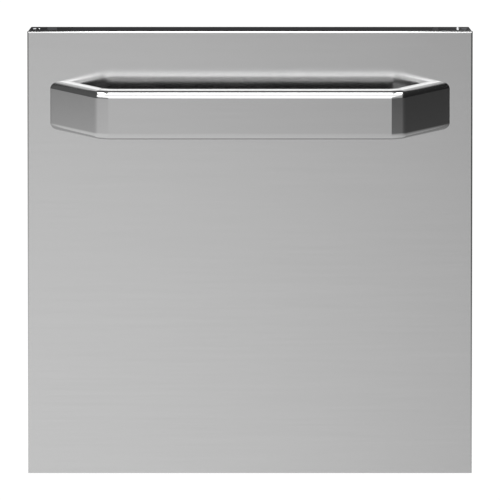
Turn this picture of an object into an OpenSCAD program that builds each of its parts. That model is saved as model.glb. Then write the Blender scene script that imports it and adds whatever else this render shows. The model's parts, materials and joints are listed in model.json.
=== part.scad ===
/* [Door] */
// Width of the door front
door_w = 595; // [590:1:600]
// Height of the door front
door_h = 606; // [596:1:616]
// Front face to the back of the inner liner
door_d = 33; // [32:1:34]
// Height of the door's lower edge above the floor
door_z = 8; // [8:1:12]
// Thickness of the door front sheet
skin = 1.2; // [1:0.1:1.5]

/* [Handle] */
// Overall length of the handle, measured at the door
handle_w = 534; // [500:1:560]
// Height of the bar
handle_h = 67; // [55:1:75]
// Distance from the door to the front of the bar
handle_out = 68; // [60:1:72]
// Depth of the bar
handle_t = 28; // [22:1:30]
// Radius of the bar's long edges
handle_r = 10; // [6:1:11]
// Door top edge to the top of the bar
handle_drop = 68; // [50:1:90]
// Angle between the arms and the door
arm_angle = 46; // [40:1:55]

/* [Body] */
// Width of the casing
body_w = 560; // [556:1:564]
// Height of the casing
body_h = 510; // [506:1:512]
// Door front to the back of the casing
body_back = 486; // [480:1:500]
// Thickness of the casing panels
panel = 1.5; // [1:0.1:2]
// Height of the toe recess that the foot of the door swings into
toe_h = 100; // [98:1:102]
// Door front to the back of the toe recess
toe_back = 172; // [170:1:176]

/* [Hinge] */
// Height of the hinge pins
hinge_z = 128; // [128:1:130]
// Door front to the hinge axis
hinge_y = 38; // [37:1:38]
// Radius of a hinge pin
pin_r = 5; // [4:0.5:6]

/* [Tub] */
// Inside width of the tub
tub_w = 516; // [510:1:518]
// Inside depth of the tub
tub_d = 424; // [420:1:426]
// Height of the tub floor above the ground
tub_z = 120; // [119:1:121]
// Inside height of the tub
tub_h = 368; // [362:1:370]

/* [Racks] */
// Width of the lower rack
rack_w = 476; // [460:1:480]
// Depth of the lower rack
rack_d = 350; // [330:1:352]
// Radius of a rack wheel
wheel_r = 14; // [13:0.5:14]
// Thickness of the rack wires
wire = 4; // [3:0.5:5]
// Wires across the floor of the rack
rack_wires = 11; // [7:2:15]
// Tines in one folding row
tines = 12; // [8:1:14]
// Depth of the cutlery tray
tray_d = 350; // [330:1:355]

/* [Hidden] */
$fn = 48;
eps = 0.01;

// The origin is under the middle of the whole machine, handle included.
front_y = handle_out - (handle_out + body_back) / 2;
back_y = front_y + body_back;
axis_y = front_y + hinge_y;
door_top = door_z + door_h;
liner_y = front_y + door_d;
frame_y = liner_y + 7;
tub_y = frame_y + 4;
tub_mid = tub_y + tub_d / 2;
tub_top = tub_z + tub_h;
tub_sheet = 1.2;
handle_z = door_top - handle_drop - handle_h;
gap = 0.3;
fit = 0.05;

steel = "#c9cacc";
bright = "#dedfe1";
dark = "#2a2b2d";
grey = "#8d9094";
white = "#e9eaec";
blue = "#3f6ea8";

// A box from one corner to the other.
module slab(x0, x1, y0, y1, z0, z1) {
    translate([x0, y0, z0]) cube([x1 - x0, y1 - y0, z1 - z0]);
}

// The children, and the same again on the other side of the machine.
module both_sides() {
    children();
    mirror([1, 0, 0]) children();
}

// A round bar lying along X, Y or Z, from its low end.
module bar_x(r, x0, x1, y, z) {
    translate([x0, y, z]) rotate([0, 90, 0]) cylinder(r = r, h = x1 - x0);
}
module bar_y(r, y0, y1, x, z) {
    translate([x, y0, z]) rotate([-90, 0, 0]) cylinder(r = r, h = y1 - y0);
}
module bar_z(r, z0, z1, x, y) {
    translate([x, y, z0]) cylinder(r = r, h = z1 - z0);
}

// A four-sided wire, which joins cleanly to the wires it crosses.
module wire_x(x0, x1, y, z, w = wire) { slab(x0, x1, y - w/2, y + w/2, z - w/2, z + w/2); }
module wire_y(y0, y1, x, z, w = wire) { slab(x - w/2, x + w/2, y0, y1, z - w/2, z + w/2); }
module wire_z(z0, z1, x, y, w = wire) { slab(x - w/2, x + w/2, y - w/2, y + w/2, z0, z1); }

// A rectangle with rounded corners, centred.
module rounded(w, h, r) {
    square([w - 2*r, h], center = true);
    square([w, h - 2*r], center = true);
    for (x = [-1, 1], y = [-1, 1])
        translate([x * (w/2 - r), y * (h/2 - r)]) circle(r);
}

// ---- Casing ----

bay_y0 = front_y + toe_back + 4;
bay_y1 = back_y - 12;
bay_x = body_w/2 - panel - 2;
tray_z = 22;
foot_x = 236;
foot_ys = [bay_y0 + 22, bay_y1 - 26];
stem_r = 5;
inlet_x = -214;
drain_x = -168;
power_x = -110;
service_z = 72;
inlet_r = 13.2;
nut_r = 20;
lip = 12;

module base_tray() {
    color(dark) difference() {
        union() {
            slab(-bay_x, bay_x, bay_y0, bay_y1, tray_z, tray_z + 3);
            for (y = [bay_y0, bay_y1 - 3])
                slab(-bay_x, bay_x, y, y + 3, tray_z, y == bay_y0 ? 60 : 100);
            both_sides() slab(bay_x - 3, bay_x, bay_y0, bay_y1, tray_z, 60);
            for (x = [-foot_x, foot_x], y = foot_ys) bar_z(12, tray_z, tray_z + 10, x, y);
            // Saddles under the two pumps and the heater
            for (x = [120, 190], y = [tub_mid - 22, tub_mid + 73])
                slab(x, x + 8, y - 18, y + 18, tray_z, 30);
        }
        for (x = [-foot_x, foot_x], y = foot_ys)
            bar_z(stem_r + fit, tray_z - 1, tray_z + 11, x, y);
        bar_y(nut_r, bay_y1 - 4, bay_y1 + 1, inlet_x, service_z);
        bar_y(10.5 + fit, bay_y1 - 4, bay_y1 + 1, drain_x, service_z);
        bar_y(12 + fit, bay_y1 - 4, bay_y1 + 1, power_x, service_z);
    }
}

// One side of the casing, on the right. Its lower front corner is cut away for the door.
module side_panel() {
    difference() {
        union() {
            slab(body_w/2 - panel, body_w/2, frame_y + 2, back_y, tray_z, body_h - panel);
            slab(body_w/2 - 14, body_w/2 - panel + eps, frame_y + 2, frame_y + 3.5, 150, body_h - lip - 1);
        }
        slab(body_w/2 - 15, body_w/2 + 1, frame_y, front_y + toe_back, tray_z - 1, toe_h);
        // Pressed grip in the panel's side
        slab(body_w/2 - 0.7, body_w/2 + 1, tub_mid - 110, tub_mid + 110, 300, 340);
    }
}
module side_panel_left() color(steel) mirror([1, 0, 0]) side_panel();
module side_panel_right() color(steel) side_panel();

module rear_panel() {
    w = body_w/2 - panel - 0.1;
    color(steel) difference() {
        slab(-w, w, back_y - panel, back_y, 112, body_h - panel);
        // Ventilation slots
        for (i = [0:8]) slab(60 + 18*i, 68 + 18*i, back_y - 5, back_y + 1, 130, 170);
    }
}

module top_cover() {
    color(steel) difference() {
        union() {
            slab(-body_w/2, body_w/2, frame_y + 2, back_y, body_h - panel + eps, body_h);
            slab(-body_w/2 + 2, body_w/2 - 2, frame_y + 2, frame_y + 3.5, body_h - lip, body_h - panel + 0.1);
        }
        // Shallow stiffening grooves
        for (x = [-160, 0, 160])
            slab(x - 30, x + 30, tub_mid - 150, tub_mid + 150, body_h - 0.6, body_h + 1);
    }
}

frame_w = 582;
frame_top = 608;
frame_hole_x = 285.5;
frame_hole_z = [210, 570];
frame_hole_r = 2.25;
module front_frame() {
    color(grey) difference() {
        union() {
            slab(-frame_w/2, frame_w/2, frame_y, frame_y + panel, 150, frame_top);
            slab(-frame_w/2, frame_w/2, frame_y, frame_y + 14, frame_top - panel, frame_top);
            both_sides() slab(frame_w/2 - panel, frame_w/2, frame_y, frame_y + 10, 150, frame_top);
        }
        slab(-262, 262, frame_y - 1, frame_y + panel + 1, 149, tub_top + 2);
        for (x = [-frame_hole_x, frame_hole_x], z = frame_hole_z)
            bar_y(frame_hole_r, frame_y - 1, frame_y + 6, x, z);
        for (x = [-8, 8]) bar_y(1.7, frame_y - 1, frame_y + 6, x, strike_z + 12);
    }
}

// ---- Tub ----

wheel_track = 6;
wheel_x = 236;
sump_r = 74;
salt_x = -150;
salt_y = tub_mid + 143;
pipe_y = tub_y + tub_d - 10;
float_x = 165;
float_y = tub_mid - 158;
module tub() {
    ix = tub_w/2;
    ox = ix + tub_sheet;
    color(bright) difference() {
        union() {
            difference() {
                slab(-ox, ox, tub_y, tub_y + tub_d + tub_sheet, tub_z - tub_sheet, tub_top + tub_sheet);
                slab(-ix, ix, tub_y - 1, tub_y + tub_d, tub_z, tub_top);
            }
            // Raised tracks for the rack wheels
            both_sides()
                slab(wheel_x - 9, wheel_x + 9, tub_y + 4, tub_y + tub_d - 2, tub_z - eps, tub_z + wheel_track);
            // Lip folded down at the front edge of the floor
            slab(-ox, ox, tub_y, tub_y + tub_sheet, tub_z - 12, tub_z);
        }
        bar_z(sump_r - 6, tub_z - 3, tub_z + 3, 0, tub_mid);
        bar_z(26, tub_z - 3, tub_z + 3, salt_x, salt_y);
        bar_z(8.2, tub_z - 3, tub_z + 3, 0, pipe_y);
        bar_z(6, tub_z - 3, tub_z + 3, float_x, float_y);
        // Bolts of the tray rails
        for (x = [-1, 1], y = rail_bolts)
            bar_x(2.1, x > 0 ? ix - 1 : -ix - 3, x > 0 ? ix + 3 : -ix + 1, y, rail_z);
    }
}

seal_in = 264;
seal_out = 274;
module door_seal() {
    color(dark) difference() {
        slab(-seal_out, seal_out, liner_y + gap, frame_y, 146, tub_top + 14);
        slab(-seal_in, seal_in, liner_y - 1, frame_y + 1, 145, tub_top + 4);
        // Hollow lip that the door presses on
        both_sides() slab(seal_in + 3, seal_out - 3, liner_y + 2, frame_y - 2, 145, tub_top + 11);
        slab(-seal_out + 3, seal_out - 3, liner_y + 2, frame_y - 2, tub_top + 7, tub_top + 11);
    }
}

strike_z = 528;
tongue_d = 21;
bolt_r = 3;
bolt_y = frame_y - 14;
module latch_strike() {
    color(steel) difference() {
        union() {
            slab(-18, 18, frame_y - 2, frame_y, strike_z - 6, strike_z + 20);
            slab(-12, 12, frame_y - tongue_d, frame_y - 2, strike_z - 1.5, strike_z + 1.5);
        }
        // Window that the locking bolt rises through
        slab(-6, 6, bolt_y - 4, bolt_y + 5, strike_z - 3, strike_z + 3);
        for (x = [-8, 8]) bar_y(1.7, frame_y - 3, frame_y + 1, x, strike_z + 12);
    }
}

sump_z = 42;
module sump() {
    color(dark) difference() {
        union() {
            bar_z(sump_r, sump_z, tub_z - tub_sheet, 0, tub_mid);
            // Ports to the two pumps and the heater
            bar_x(16, 60, 92, tub_mid + 30, 68);
            bar_x(12, 60, 86, tub_mid - 22, 68);
            bar_x(11, -90, -60, tub_mid - 26, 58);
        }
        bar_z(sump_r - 8, sump_z + 6, tub_z, 0, tub_mid);
        bar_x(12, 50, 93, tub_mid + 30, 68);
        bar_x(8, 50, 87, tub_mid - 22, 68);
        bar_x(8, -91, -50, tub_mid - 26, 58);
    }
}

cup_r = 24;
cup_x = 38;
filter_z = tub_z - 4;
module fine_filter() {
    color(bright) difference() {
        union() {
            bar_z(sump_r - 8.5, filter_z, filter_z + 2, 0, tub_mid);
            bar_z(11, filter_z, tub_z + 8, 0, tub_mid);
        }
        bar_z(cup_r + 0.3, filter_z - 1, filter_z + 3, cup_x, tub_mid);
        bar_z(5 + fit, filter_z - 1, tub_z + 9, 0, tub_mid);
        for (a = [60:30:300])
            translate([0, tub_mid, 0]) rotate(a) translate([38, 0, filter_z - 1]) cylinder(r = 4, h = 4);
    }
}
module filter_cup() {
    color(grey) translate([cup_x, tub_mid, 0]) {
        difference() {
            bar_z(cup_r, sump_z + 14, tub_z + 2, 0, 0);
            bar_z(cup_r - 2.5, sump_z + 17, tub_z + 3, 0, 0);
            // Mesh windows around the cup
            for (a = [0:45:135], z = [64, 82]) rotate(a) slab(-30, 30, -5, 5, z, z + 12);
        }
        slab(-cup_r + 1, cup_r - 1, -1.5, 1.5, tub_z - 8, tub_z + 2);
    }
}

// ---- Machine bay ----

module circulation_pump() {
    y = tub_mid + 60;
    color(grey) difference() {
        union() {
            bar_x(34, 120, 232, y, 66);
            bar_x(43, 92.3, 121, y, 68);
            for (x = [140:12:220]) bar_x(35.5, x, x + 4, y, 66);
            bar_x(12, 232, 240, y, 66);
        }
        slab(80, 260, y - 60, y + 60, 10, 30.5);
        bar_x(11.9, 91, 100, tub_mid + 30, 68);
    }
}
module flow_heater() {
    y = tub_mid - 22;
    color(bright) difference() {
        union() {
            bar_x(22, 96, 214, y, 66);
            bar_x(14, 86.3, 96.1, y, 66);
            for (x = [100, 204]) bar_x(24, x, x + 6, y, 66);
            slab(120, 180, y - 8, y + 8, 84, 96);
        }
        bar_x(8, 86, 92, y, 68);
        slab(90, 220, y - 40, y + 40, 20, 30.5);
    }
}
module drain_pump() {
    y = tub_mid - 26;
    color(dark) difference() {
        union() {
            bar_x(22, -110, -90.3, y, 56);
            bar_x(18, -150, -109, y, 56);
            slab(-140, -118, y - 14, y + 14, 26, 44);
        }
        bar_x(8, -100, -90, y, 58);
    }
}
module water_softener() {
    color(white) difference() {
        union() {
            slab(-266, -176, bay_y0 + 8, bay_y1 - 60, 40, 112);
            slab(-178, salt_x, salt_y - 30, salt_y + 30, 60, 112);
            bar_z(30, 60, tub_z - tub_sheet, salt_x, salt_y);
            bar_z(25.8, 100, tub_z + 4, salt_x, salt_y);
        }
        bar_z(20.1, 66, tub_z + 5, salt_x, salt_y);
    }
}
module salt_cap() {
    color(blue) {
        bar_z(28, tub_z + 4.2, tub_z + 10, salt_x, salt_y);
        difference() {
            bar_z(20, tub_z - 10, tub_z + 4.3, salt_x, salt_y);
            bar_z(17.5, tub_z - 11, tub_z + 4.2, salt_x, salt_y);
        }
        slab(salt_x - 20, salt_x + 20, salt_y - 3, salt_y + 3, tub_z + 9.9, tub_z + 13);
    }
}

upper_z = tub_top - 20;
module supply_pipe() {
    color(grey) {
        bar_z(8, 60, upper_z + 2, 0, pipe_y);
        translate([0, pipe_y, upper_z + 2]) sphere(8);
        bar_y(8, tub_mid, pipe_y, 0, upper_z + 2);
        difference() {
            bar_z(12, upper_z - 12, tub_top - 2, 0, tub_mid);
            bar_z(5 + fit, upper_z - 13, upper_z - 6.5, 0, tub_mid);
        }
        // Clip that holds the pipe to the back wall
        slab(-16, 16, pipe_y + 7, pipe_y + 9.8, 300, 320);
    }
}

module inlet_valve() {
    color(white) {
        bar_y(inlet_r, back_y - 15, back_y - 2, inlet_x, service_z);
        bar_y(inlet_r - 1.2, bay_y1 - 6, back_y - 14, inlet_x, service_z);
        slab(inlet_x - 20, inlet_x + 20, bay_y1 - 40, bay_y1 - 5, service_z - 18, service_z + 18);
        bar_z(14, service_z + 17, service_z + 34, inlet_x, bay_y1 - 22);
    }
}
module drain_spigot() {
    color(dark) difference() {
        union() {
            bar_y(10.5, bay_y1 - 30, back_y - 2, drain_x, service_z);
            for (y = [back_y - 6, back_y - 10])
                translate([drain_x, y, service_z]) rotate([-90, 0, 0]) cylinder(r1 = 12.5, r2 = 10.5, h = 3.5);
            bar_y(15, bay_y1 - 30, bay_y1 - 4, drain_x, service_z);
        }
        bar_y(7.5, bay_y1 - 24, back_y, drain_x, service_z);
    }
}
module power_inlet() {
    color(dark) difference() {
        union() {
            bar_y(12, bay_y1 - 14, back_y - 6, power_x, service_z);
            bar_y(16, bay_y1 - 16, bay_y1 - 4, power_x, service_z);
        }
        bar_y(4.2, bay_y1 - 12, back_y, power_x, service_z);
    }
}
module control_box() {
    color(dark) {
        slab(-115, -25, bay_y1 - 110, bay_y1 - 40, tray_z + 3, 104);
        for (x = [-108:15:-35]) slab(x, x + 4, bay_y1 - 104, bay_y1 - 46, 103.9, 107);
    }
}
module counterweight() {
    color(grey) slab(20, 205, bay_y1 - 46, bay_y1 - 6, tray_z + 3, 92);
}

// A levelling foot: pad, hexagon and threaded stem.
module foot(x, y) {
    color(dark) {
        bar_z(19, 0, 6, x, y);
        bar_z(13, 5.9, 10, x, y);
        translate([x, y, 9.9]) cylinder(r = 9.5, h = 8, $fn = 6);
        bar_z(stem_r, 17.8, 36, x, y);
    }
}
module foot_front_left() foot(-foot_x, foot_ys[0]);
module foot_front_right() foot(foot_x, foot_ys[0]);
module foot_rear_left() foot(-foot_x, foot_ys[1]);
module foot_rear_right() foot(foot_x, foot_ys[1]);

// ---- Hinges ----

arm_in = 265;
arm_t = 4;
bracket_in = 274;
module hinge_brackets() {
    color(steel) both_sides() {
        slab(bracket_in, bracket_in + 2.5, axis_y - 6, axis_y + 60, hinge_z - 16, hinge_z + 10);
        bar_x(pin_r, arm_in - 3, bracket_in + 1, axis_y, hinge_z);
        bar_x(pin_r + 2, arm_in - 3, arm_in - 0.5, axis_y, hinge_z);
    }
}
module hinge_springs() {
    color(grey) both_sides() difference() {
        bar_x(9.5, arm_in + arm_t + 0.4, bracket_in - 0.2, axis_y, hinge_z);
        bar_x(pin_r + 0.2, arm_in, bracket_in + 1, axis_y, hinge_z);
    }
}
module hinge_arms() {
    color(steel) both_sides() difference() {
        union() {
            bar_x(10, arm_in, arm_in + arm_t, axis_y, hinge_z);
            slab(arm_in, arm_in + arm_t, front_y + 8, axis_y, hinge_z - 9, hinge_z + 4);
            slab(arm_in, arm_in + arm_t, front_y + 8, front_y + 21, hinge_z - 9, 280);
        }
        bar_x(pin_r + fit, arm_in - 1, arm_in + arm_t + 1, axis_y, hinge_z);
    }
}

// ---- Door ----

return_d = 20;
screw_x = 247;
screw_zs = [handle_z + 14, handle_z + handle_h - 14];
housing_z = 545;
module door_panel() {
    x = door_w / 2;
    color(steel) difference() {
        union() {
            slab(-x, x, front_y, front_y + skin, door_z, door_top);
            both_sides() slab(x - skin, x, front_y, front_y + return_d, door_z, door_top - 6);
            slab(-x, x, front_y, front_y + 6, door_z, door_z + skin);
            slab(-x + 3, x - 3, front_y, front_y + 3, door_top - skin, door_top);
        }
        for (sx = [-screw_x, screw_x], z = screw_zs)
            bar_y(2.5 + fit, front_y - 1, front_y + skin + 1, sx, z);
    }
}

// The bar's cross-section, its outer face on the Y axis and its middle at height 0.
module bar_section(shrink = 0) {
    translate([-handle_t/2, 0]) rounded(handle_t - 2*shrink, handle_h - 2*shrink, handle_r - shrink);
}
bend_r = 29;
bend_rise = bend_r * (1 - cos(arm_angle));
arm_dx = (handle_out - bend_rise) / tan(arm_angle);
flat_w = handle_w - 2*arm_dx - 2*bend_r*sin(arm_angle);
arm_len = (handle_out - bend_rise) / sin(arm_angle);
// The bar swept along its faceted outline: front, two bends and two arms.
module handle_sweep(shrink = 0) {
    mid_z = handle_z + handle_h/2;
    face_y = front_y - handle_out;
    translate([-flat_w/2, face_y, mid_z]) rotate([90, 0, 90])
        linear_extrude(flat_w) mirror([1, 0]) bar_section(shrink);
    both_sides() translate([flat_w/2, face_y + bend_r, mid_z]) rotate([0, 0, -90])
        rotate_extrude(angle = arm_angle, $fn = 96) translate([bend_r, 0]) bar_section(shrink);
    // Each arm starts inside its bend and is a hair thinner, so that the two join cleanly.
    both_sides() translate([flat_w/2, face_y + bend_r, mid_z]) rotate([0, 0, arm_angle - 90])
        translate([bend_r, -1, 0]) rotate([-90, 0, 0])
        linear_extrude(arm_len + 40) bar_section(shrink + fit);
}
module door_handle() {
    wall = 2.5;
    plate = 6;
    color(bright) difference() {
        intersection() {
            handle_sweep();
            slab(-300, 300, front_y - handle_out - 1, front_y, handle_z - 1, handle_z + handle_h + 1);
        }
        intersection() {
            handle_sweep(wall);
            slab(-300, 300, front_y - handle_out, front_y - plate, handle_z, handle_z + handle_h);
        }
        for (x = [-screw_x, screw_x], z = screw_zs) bar_y(2.5 + fit, front_y - plate - 1, front_y + 1, x, z);
    }
}
module door_insulation() {
    color(dark) difference() {
        slab(-255, 255, front_y + skin + 0.2, front_y + 19, 140, 538);
        slab(dish_x0 - 4, dish_x1 + 4, front_y + 6, front_y + 20, dish_z0 - 4, dish_z1 + 4);
        for (x = [-screw_x, screw_x], z = screw_zs) bar_y(7, front_y, front_y + 20, x, z);
        slab(-30, 30, front_y, front_y + 20, 490, 540);
    }
}

// The detergent dispenser's place in the liner
dish_x0 = -110;
dish_x1 = 70;
dish_z0 = 290;
dish_z1 = 400;
module door_liner() {
    x = 292;
    z0 = hinge_z + 5;
    z1 = housing_z - 2;
    color(bright) difference() {
        union() {
            slab(-x, x, liner_y - 1, liner_y, z0, z1);
            both_sides() slab(x - 1, x, liner_y - 12, liner_y, z0, z1);
            for (z = [z0, z1 - 1]) slab(-x, x, liner_y - 12, liner_y, z, z + 1);
            // Ridges that carry the rack wheels on the open door
            both_sides() slab(wheel_x - 8, wheel_x + 8, liner_y - eps, liner_y + 2.7, z0 + 1, 420);
            // Guide of the locking bolt
            slab(-14, 14, bolt_y - 6, liner_y - 0.5, strike_z - 11, strike_z - 7);
        }
        slab(dish_x0, dish_x1, liner_y - 2, liner_y + 1, dish_z0, dish_z1);
        // Notches around the hinges
        both_sides() slab(arm_in - 3, bracket_in + 6, liner_y - 13, liner_y + 1, z0 - 1, hinge_z + 14);
        bar_z(bolt_r + fit, strike_z - 12, strike_z - 6, 0, bolt_y);
        // Slot for the latch tongue
        slab(-16, 16, liner_y - 2, liner_y + 1, strike_z - 6, strike_z + 6);
        for (s = [-1, 1], z = liner_screw_zs)
            bar_y(2 + fit, liner_y - 2, liner_y + 1, s * 284, z);
    }
}
liner_screw_zs = [190, 310, 430, 525];
// The screws of the handle, driven from inside, and those of the inner door.
module door_screws() {
    color(grey) {
        for (x = [-screw_x, screw_x], z = screw_zs) {
            bar_y(2.5, front_y - 9, front_y + 4, x, z);
            difference() {
                bar_y(4.5, front_y + skin, front_y + 4.4, x, z);
                translate([x, front_y + 2.6, z]) rotate([-90, 0, 0]) cylinder(r = 2, h = 3, $fn = 6);
            }
        }
        for (s = [-1, 1], z = liner_screw_zs) {
            bar_y(2, liner_y - 9, liner_y + 0.5, s * 284, z);
            difference() {
                bar_y(3.8, liner_y, liner_y + 2, s * 284, z);
                translate([s * 284, liner_y + 1, z]) rotate([-90, 0, 0])
                    cylinder(r = 1.7, h = 2, $fn = 6);
            }
        }
    }
}
module bottom_seal() {
    color(dark) {
        slab(-258, 258, liner_y - 7, liner_y - 1, hinge_z - 3, hinge_z + 5);
        slab(-258, 258, liner_y - 1.1, liner_y + 3, hinge_z - 3, hinge_z - 1);
    }
}

// ---- Controls on the top edge of the door ----

housing_top = door_top - 0.6;
button_y = front_y + 20;
power_button_x = -264.5;
start_button_x = 286;
display_x = [252, 275];
strip_x = [-240, 244];
module control_housing() {
    half = door_w/2 - skin - 0.3;
    back = half - 3.5;
    d = door_d - skin - 0.2;
    wall = 2.5;
    y0 = front_y + skin + 0.2;
    color(dark) difference() {
        translate([0, y0, housing_z]) linear_extrude(housing_top - housing_z)
            polygon([[-half, 0], [half, 0], [half, 8], [back, d], [-back, d], [-half, 8]]);
        slab(-back + wall, back - wall, y0 + wall, y0 + d - wall, housing_z - 1, housing_top - wall);
        // Groove behind the front sheet
        slab(-half - 1, half + 1, y0 - 1, y0 + 6, housing_top - 2, housing_top + 1);
        // Seats of the touch strip and the display
        slab(strip_x[0], strip_x[1], y0 + 9, y0 + d - 3, housing_top - 1.2, housing_top + 1);
        slab(display_x[0], display_x[1], y0 + 9, y0 + d - 3, housing_top - 1.2, housing_top + 1);
        // Wells of the two buttons
        slab(power_button_x - 7, power_button_x + 7, button_y - 7, button_y + 7, housing_z, housing_top + 1);
        slab(start_button_x - 4, start_button_x + 4, button_y - 7, button_y + 4, housing_z, housing_top + 1);
    }
}
module touch_strip() {
    color("#15161a")
        slab(strip_x[0] + 0.2, strip_x[1] - 0.2, front_y + 10.6, front_y + 29.8, housing_top - 1.2, housing_top);
}
module display_window() {
    color("#0c0d10")
        slab(display_x[0] + 0.2, display_x[1] - 0.2, front_y + 10.6, front_y + 29.8, housing_top - 1.2, housing_top);
}
module power_button() {
    color(grey) {
        slab(power_button_x - 6.7, power_button_x + 6.7, button_y - 6.7, button_y + 6.7,
            housing_top - 7, housing_top + 0.5);
        bar_z(2.5, housing_top - 16, housing_top - 6.9, power_button_x, button_y);
    }
}
module start_button() {
    color(dark) {
        slab(start_button_x - 3.7, start_button_x + 3.7, button_y - 6.7, button_y + 3.7,
            housing_top - 7, housing_top + 0.5);
        bar_z(2, housing_top - 16, housing_top - 6.9, start_button_x, button_y - 1.5);
    }
}
// The locking bolt, withdrawn below the strike's tongue.
module door_latch() {
    z = strike_z - 2.5;
    color(bright) {
        bar_z(bolt_r, z - 18, z, 0, bolt_y);
        bar_z(5, z - 28, z - 17, 0, bolt_y);
    }
}

// ---- Detergent dispenser ----

lid_x = [-102, -22];
cap_x = 30;
cap_z = (dish_z0 + dish_z1) / 2;
cap_r = 20;
module detergent_dispenser() {
    color(grey) difference() {
        union() {
            slab(dish_x0 + 0.3, dish_x1 - 0.3, front_y + 8, liner_y, dish_z0 + 0.3, dish_z1 - 0.3);
            slab(dish_x0 - 5, dish_x1 + 5, liner_y, liner_y + 1.5, dish_z0 - 5, dish_z1 + 5);
        }
        // Powder cup
        slab(lid_x[0] + 8, lid_x[1] - 8, front_y + 11, liner_y + 2, dish_z0 + 12, dish_z0 + 50);
        // Groove that the lid slides in
        slab(lid_x[0] - 1, lid_x[1] + 1, liner_y - 2.5, liner_y + 2, dish_z0 + 5, dish_z1 - 2);
        bar_y(cap_r + 0.3, liner_y - 4, liner_y + 2, cap_x, cap_z);
        bar_y(12, front_y + 12, liner_y, cap_x, cap_z);
    }
}
module dispenser_lid() {
    color(grey) {
        slab(lid_x[0], lid_x[1], liner_y - 2.2, liner_y + 1.2, dish_z0 + 6, dish_z0 + 56);
        slab(lid_x[0] + 20, lid_x[1] - 20, liner_y + 1.1, liner_y + 3, dish_z0 + 10, dish_z0 + 15);
    }
}
module rinse_cap() {
    color(blue) {
        bar_y(cap_r, liner_y - 3.7, liner_y + 1.4, cap_x, cap_z);
        slab(cap_x - 2, cap_x + 2, liner_y + 1.3, liner_y + 5, cap_z - 15, cap_z + 15);
    }
}

// ---- Float and spray arms ----

module float() {
    color(white) {
        difference() {
            bar_z(17, tub_z + 3, tub_z + 24, float_x, float_y);
            bar_z(14.5, tub_z + 2, tub_z + 20, float_x, float_y);
        }
        bar_z(4, tub_z - 22, tub_z + 21, float_x, float_y);
    }
}

// A spray arm: hub, two tapered blades and nozzle bosses, spinning about Z.
module spray_arm(len, z, t, shaft_z0, shaft_z1) {
    translate([0, tub_mid, 0]) {
        bar_z(5, shaft_z0, shaft_z1, 0, 0);
        bar_z(22, z, z + t, 0, 0);
        for (a = [0, 180]) rotate(a) translate([0, 0, z]) linear_extrude(t)
            polygon([[0, -19], [len - 12, -12], [len - 12, 12], [0, 19]]);
        for (a = [0, 180]) rotate(a) {
            translate([len - 12, 0, z]) cylinder(r = 12, h = t);
            for (i = [1:5]) translate([len * i / 5.6, i % 2 == 0 ? 5 : -5, z + t - 0.1]) cylinder(r = 3, h = 1.2);
        }
    }
}
module lower_spray_arm() color(grey) spray_arm(188, tub_z + 16, 11, tub_z - 3, tub_z + 17);
module upper_spray_arm() color(grey) spray_arm(184, upper_z - 24, 9, upper_z - 16, upper_z - 7);

// ---- Lower rack ----

rack_y = front_y + 98;
rack_z = 162;
rack_top = 300;
rack_step = (rack_w - 60) / (rack_wires - 1);
wheel_ys = [axis_y + 206, rack_y + rack_d - 32];
wheel_z = tub_z + wheel_track + wheel_r;
tine_z = rack_z + 11;
tine_ys = [rack_y + 120, rack_y + 235];
tine_x0 = -rack_w/2 + 30;
tine_x1 = tine_x0 + 7 * rack_step;
bow = 22;

// One wire of the rack: up the front, along the floor and up the back, with cut corners.
module rack_loop(x) {
    y1 = rack_y + rack_d;
    wire_y(rack_y + bow, y1 - bow, x, rack_z);
    wire_z(rack_z + bow, rack_top, x, rack_y + wire/2);
    wire_z(rack_z + bow, rack_top, x, y1 - wire/2);
    for (s = [0, 1]) translate([x, s == 0 ? rack_y + wire/2 : y1 - wire/2, rack_z + bow])
        rotate([s == 0 ? -135 : 135, 0, 0]) translate([-wire/2, -wire/2, -1]) cube([wire, wire, bow*1.414]);
}
module rack_rim(z) {
    y1 = rack_y + rack_d;
    for (y = [rack_y + wire/2, y1 - wire/2]) wire_x(-rack_w/2, rack_w/2, y, z);
    both_sides() wire_y(rack_y, y1, rack_w/2 - wire/2, z);
}
module lower_rack() {
    y1 = rack_y + rack_d;
    color(grey) difference() {
        union() {
            for (i = [0:rack_wires - 1]) rack_loop(-rack_w/2 + 30 + i * rack_step);
            for (z = [rack_z + bow + 4, 250, rack_top]) rack_rim(z);
            for (y = [rack_y + 60, tub_mid - 40, rack_y + 200, y1 - 60])
                wire_x(-rack_w/2, rack_w/2, y, rack_z - 1);
            both_sides() {
                wire_y(rack_y + bow, y1 - bow, rack_w/2 - wire/2, rack_z);
                for (y = [rack_y + 60, rack_y + 130, rack_y + 200, y1 - 60])
                    wire_z(rack_z - 2, rack_top, rack_w/2 - wire/2, y);
            }
            // Bearings of the folding tine rows
            for (y = tine_ys, x = [tine_x0, tine_x1])
                slab(x - 2, x + 2, y - 6, y + 6, rack_z, tine_z + 7);
        }
        for (y = tine_ys) bar_x(2.1 + fit, tine_x0 - 5, tine_x1 + 5, y, tine_z);
    }
}
// A folding row of plate tines on its pivot wire.
module tine_row(y) {
    step = (tine_x1 - tine_x0) / (tines + 1);
    color(grey) {
        bar_x(2.1, tine_x0 - 4, tine_x1 + 4, y, tine_z);
        for (i = [1:tines]) wire_z(tine_z, tine_z + 92, tine_x0 + i*step, y, 3);
    }
}
module tine_row_front() tine_row(tine_ys[0]);
module tine_row_rear() tine_row(tine_ys[1]);

// The four carriers clipped under the rack's side wires, each with its stub axle.
module wheel_carriers() {
    top = rack_z - wire/2;
    color(grey) both_sides() for (y = wheel_ys) {
        slab(wheel_x - 14, wheel_x - 7.5, y - 9, y + 9, wheel_z - 9, top);
        slab(wheel_x - 14, rack_w/2, y - 9, y + 9, top - 3, top);
        bar_x(3, wheel_x - 8, wheel_x + 6, y, wheel_z);
    }
}

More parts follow.
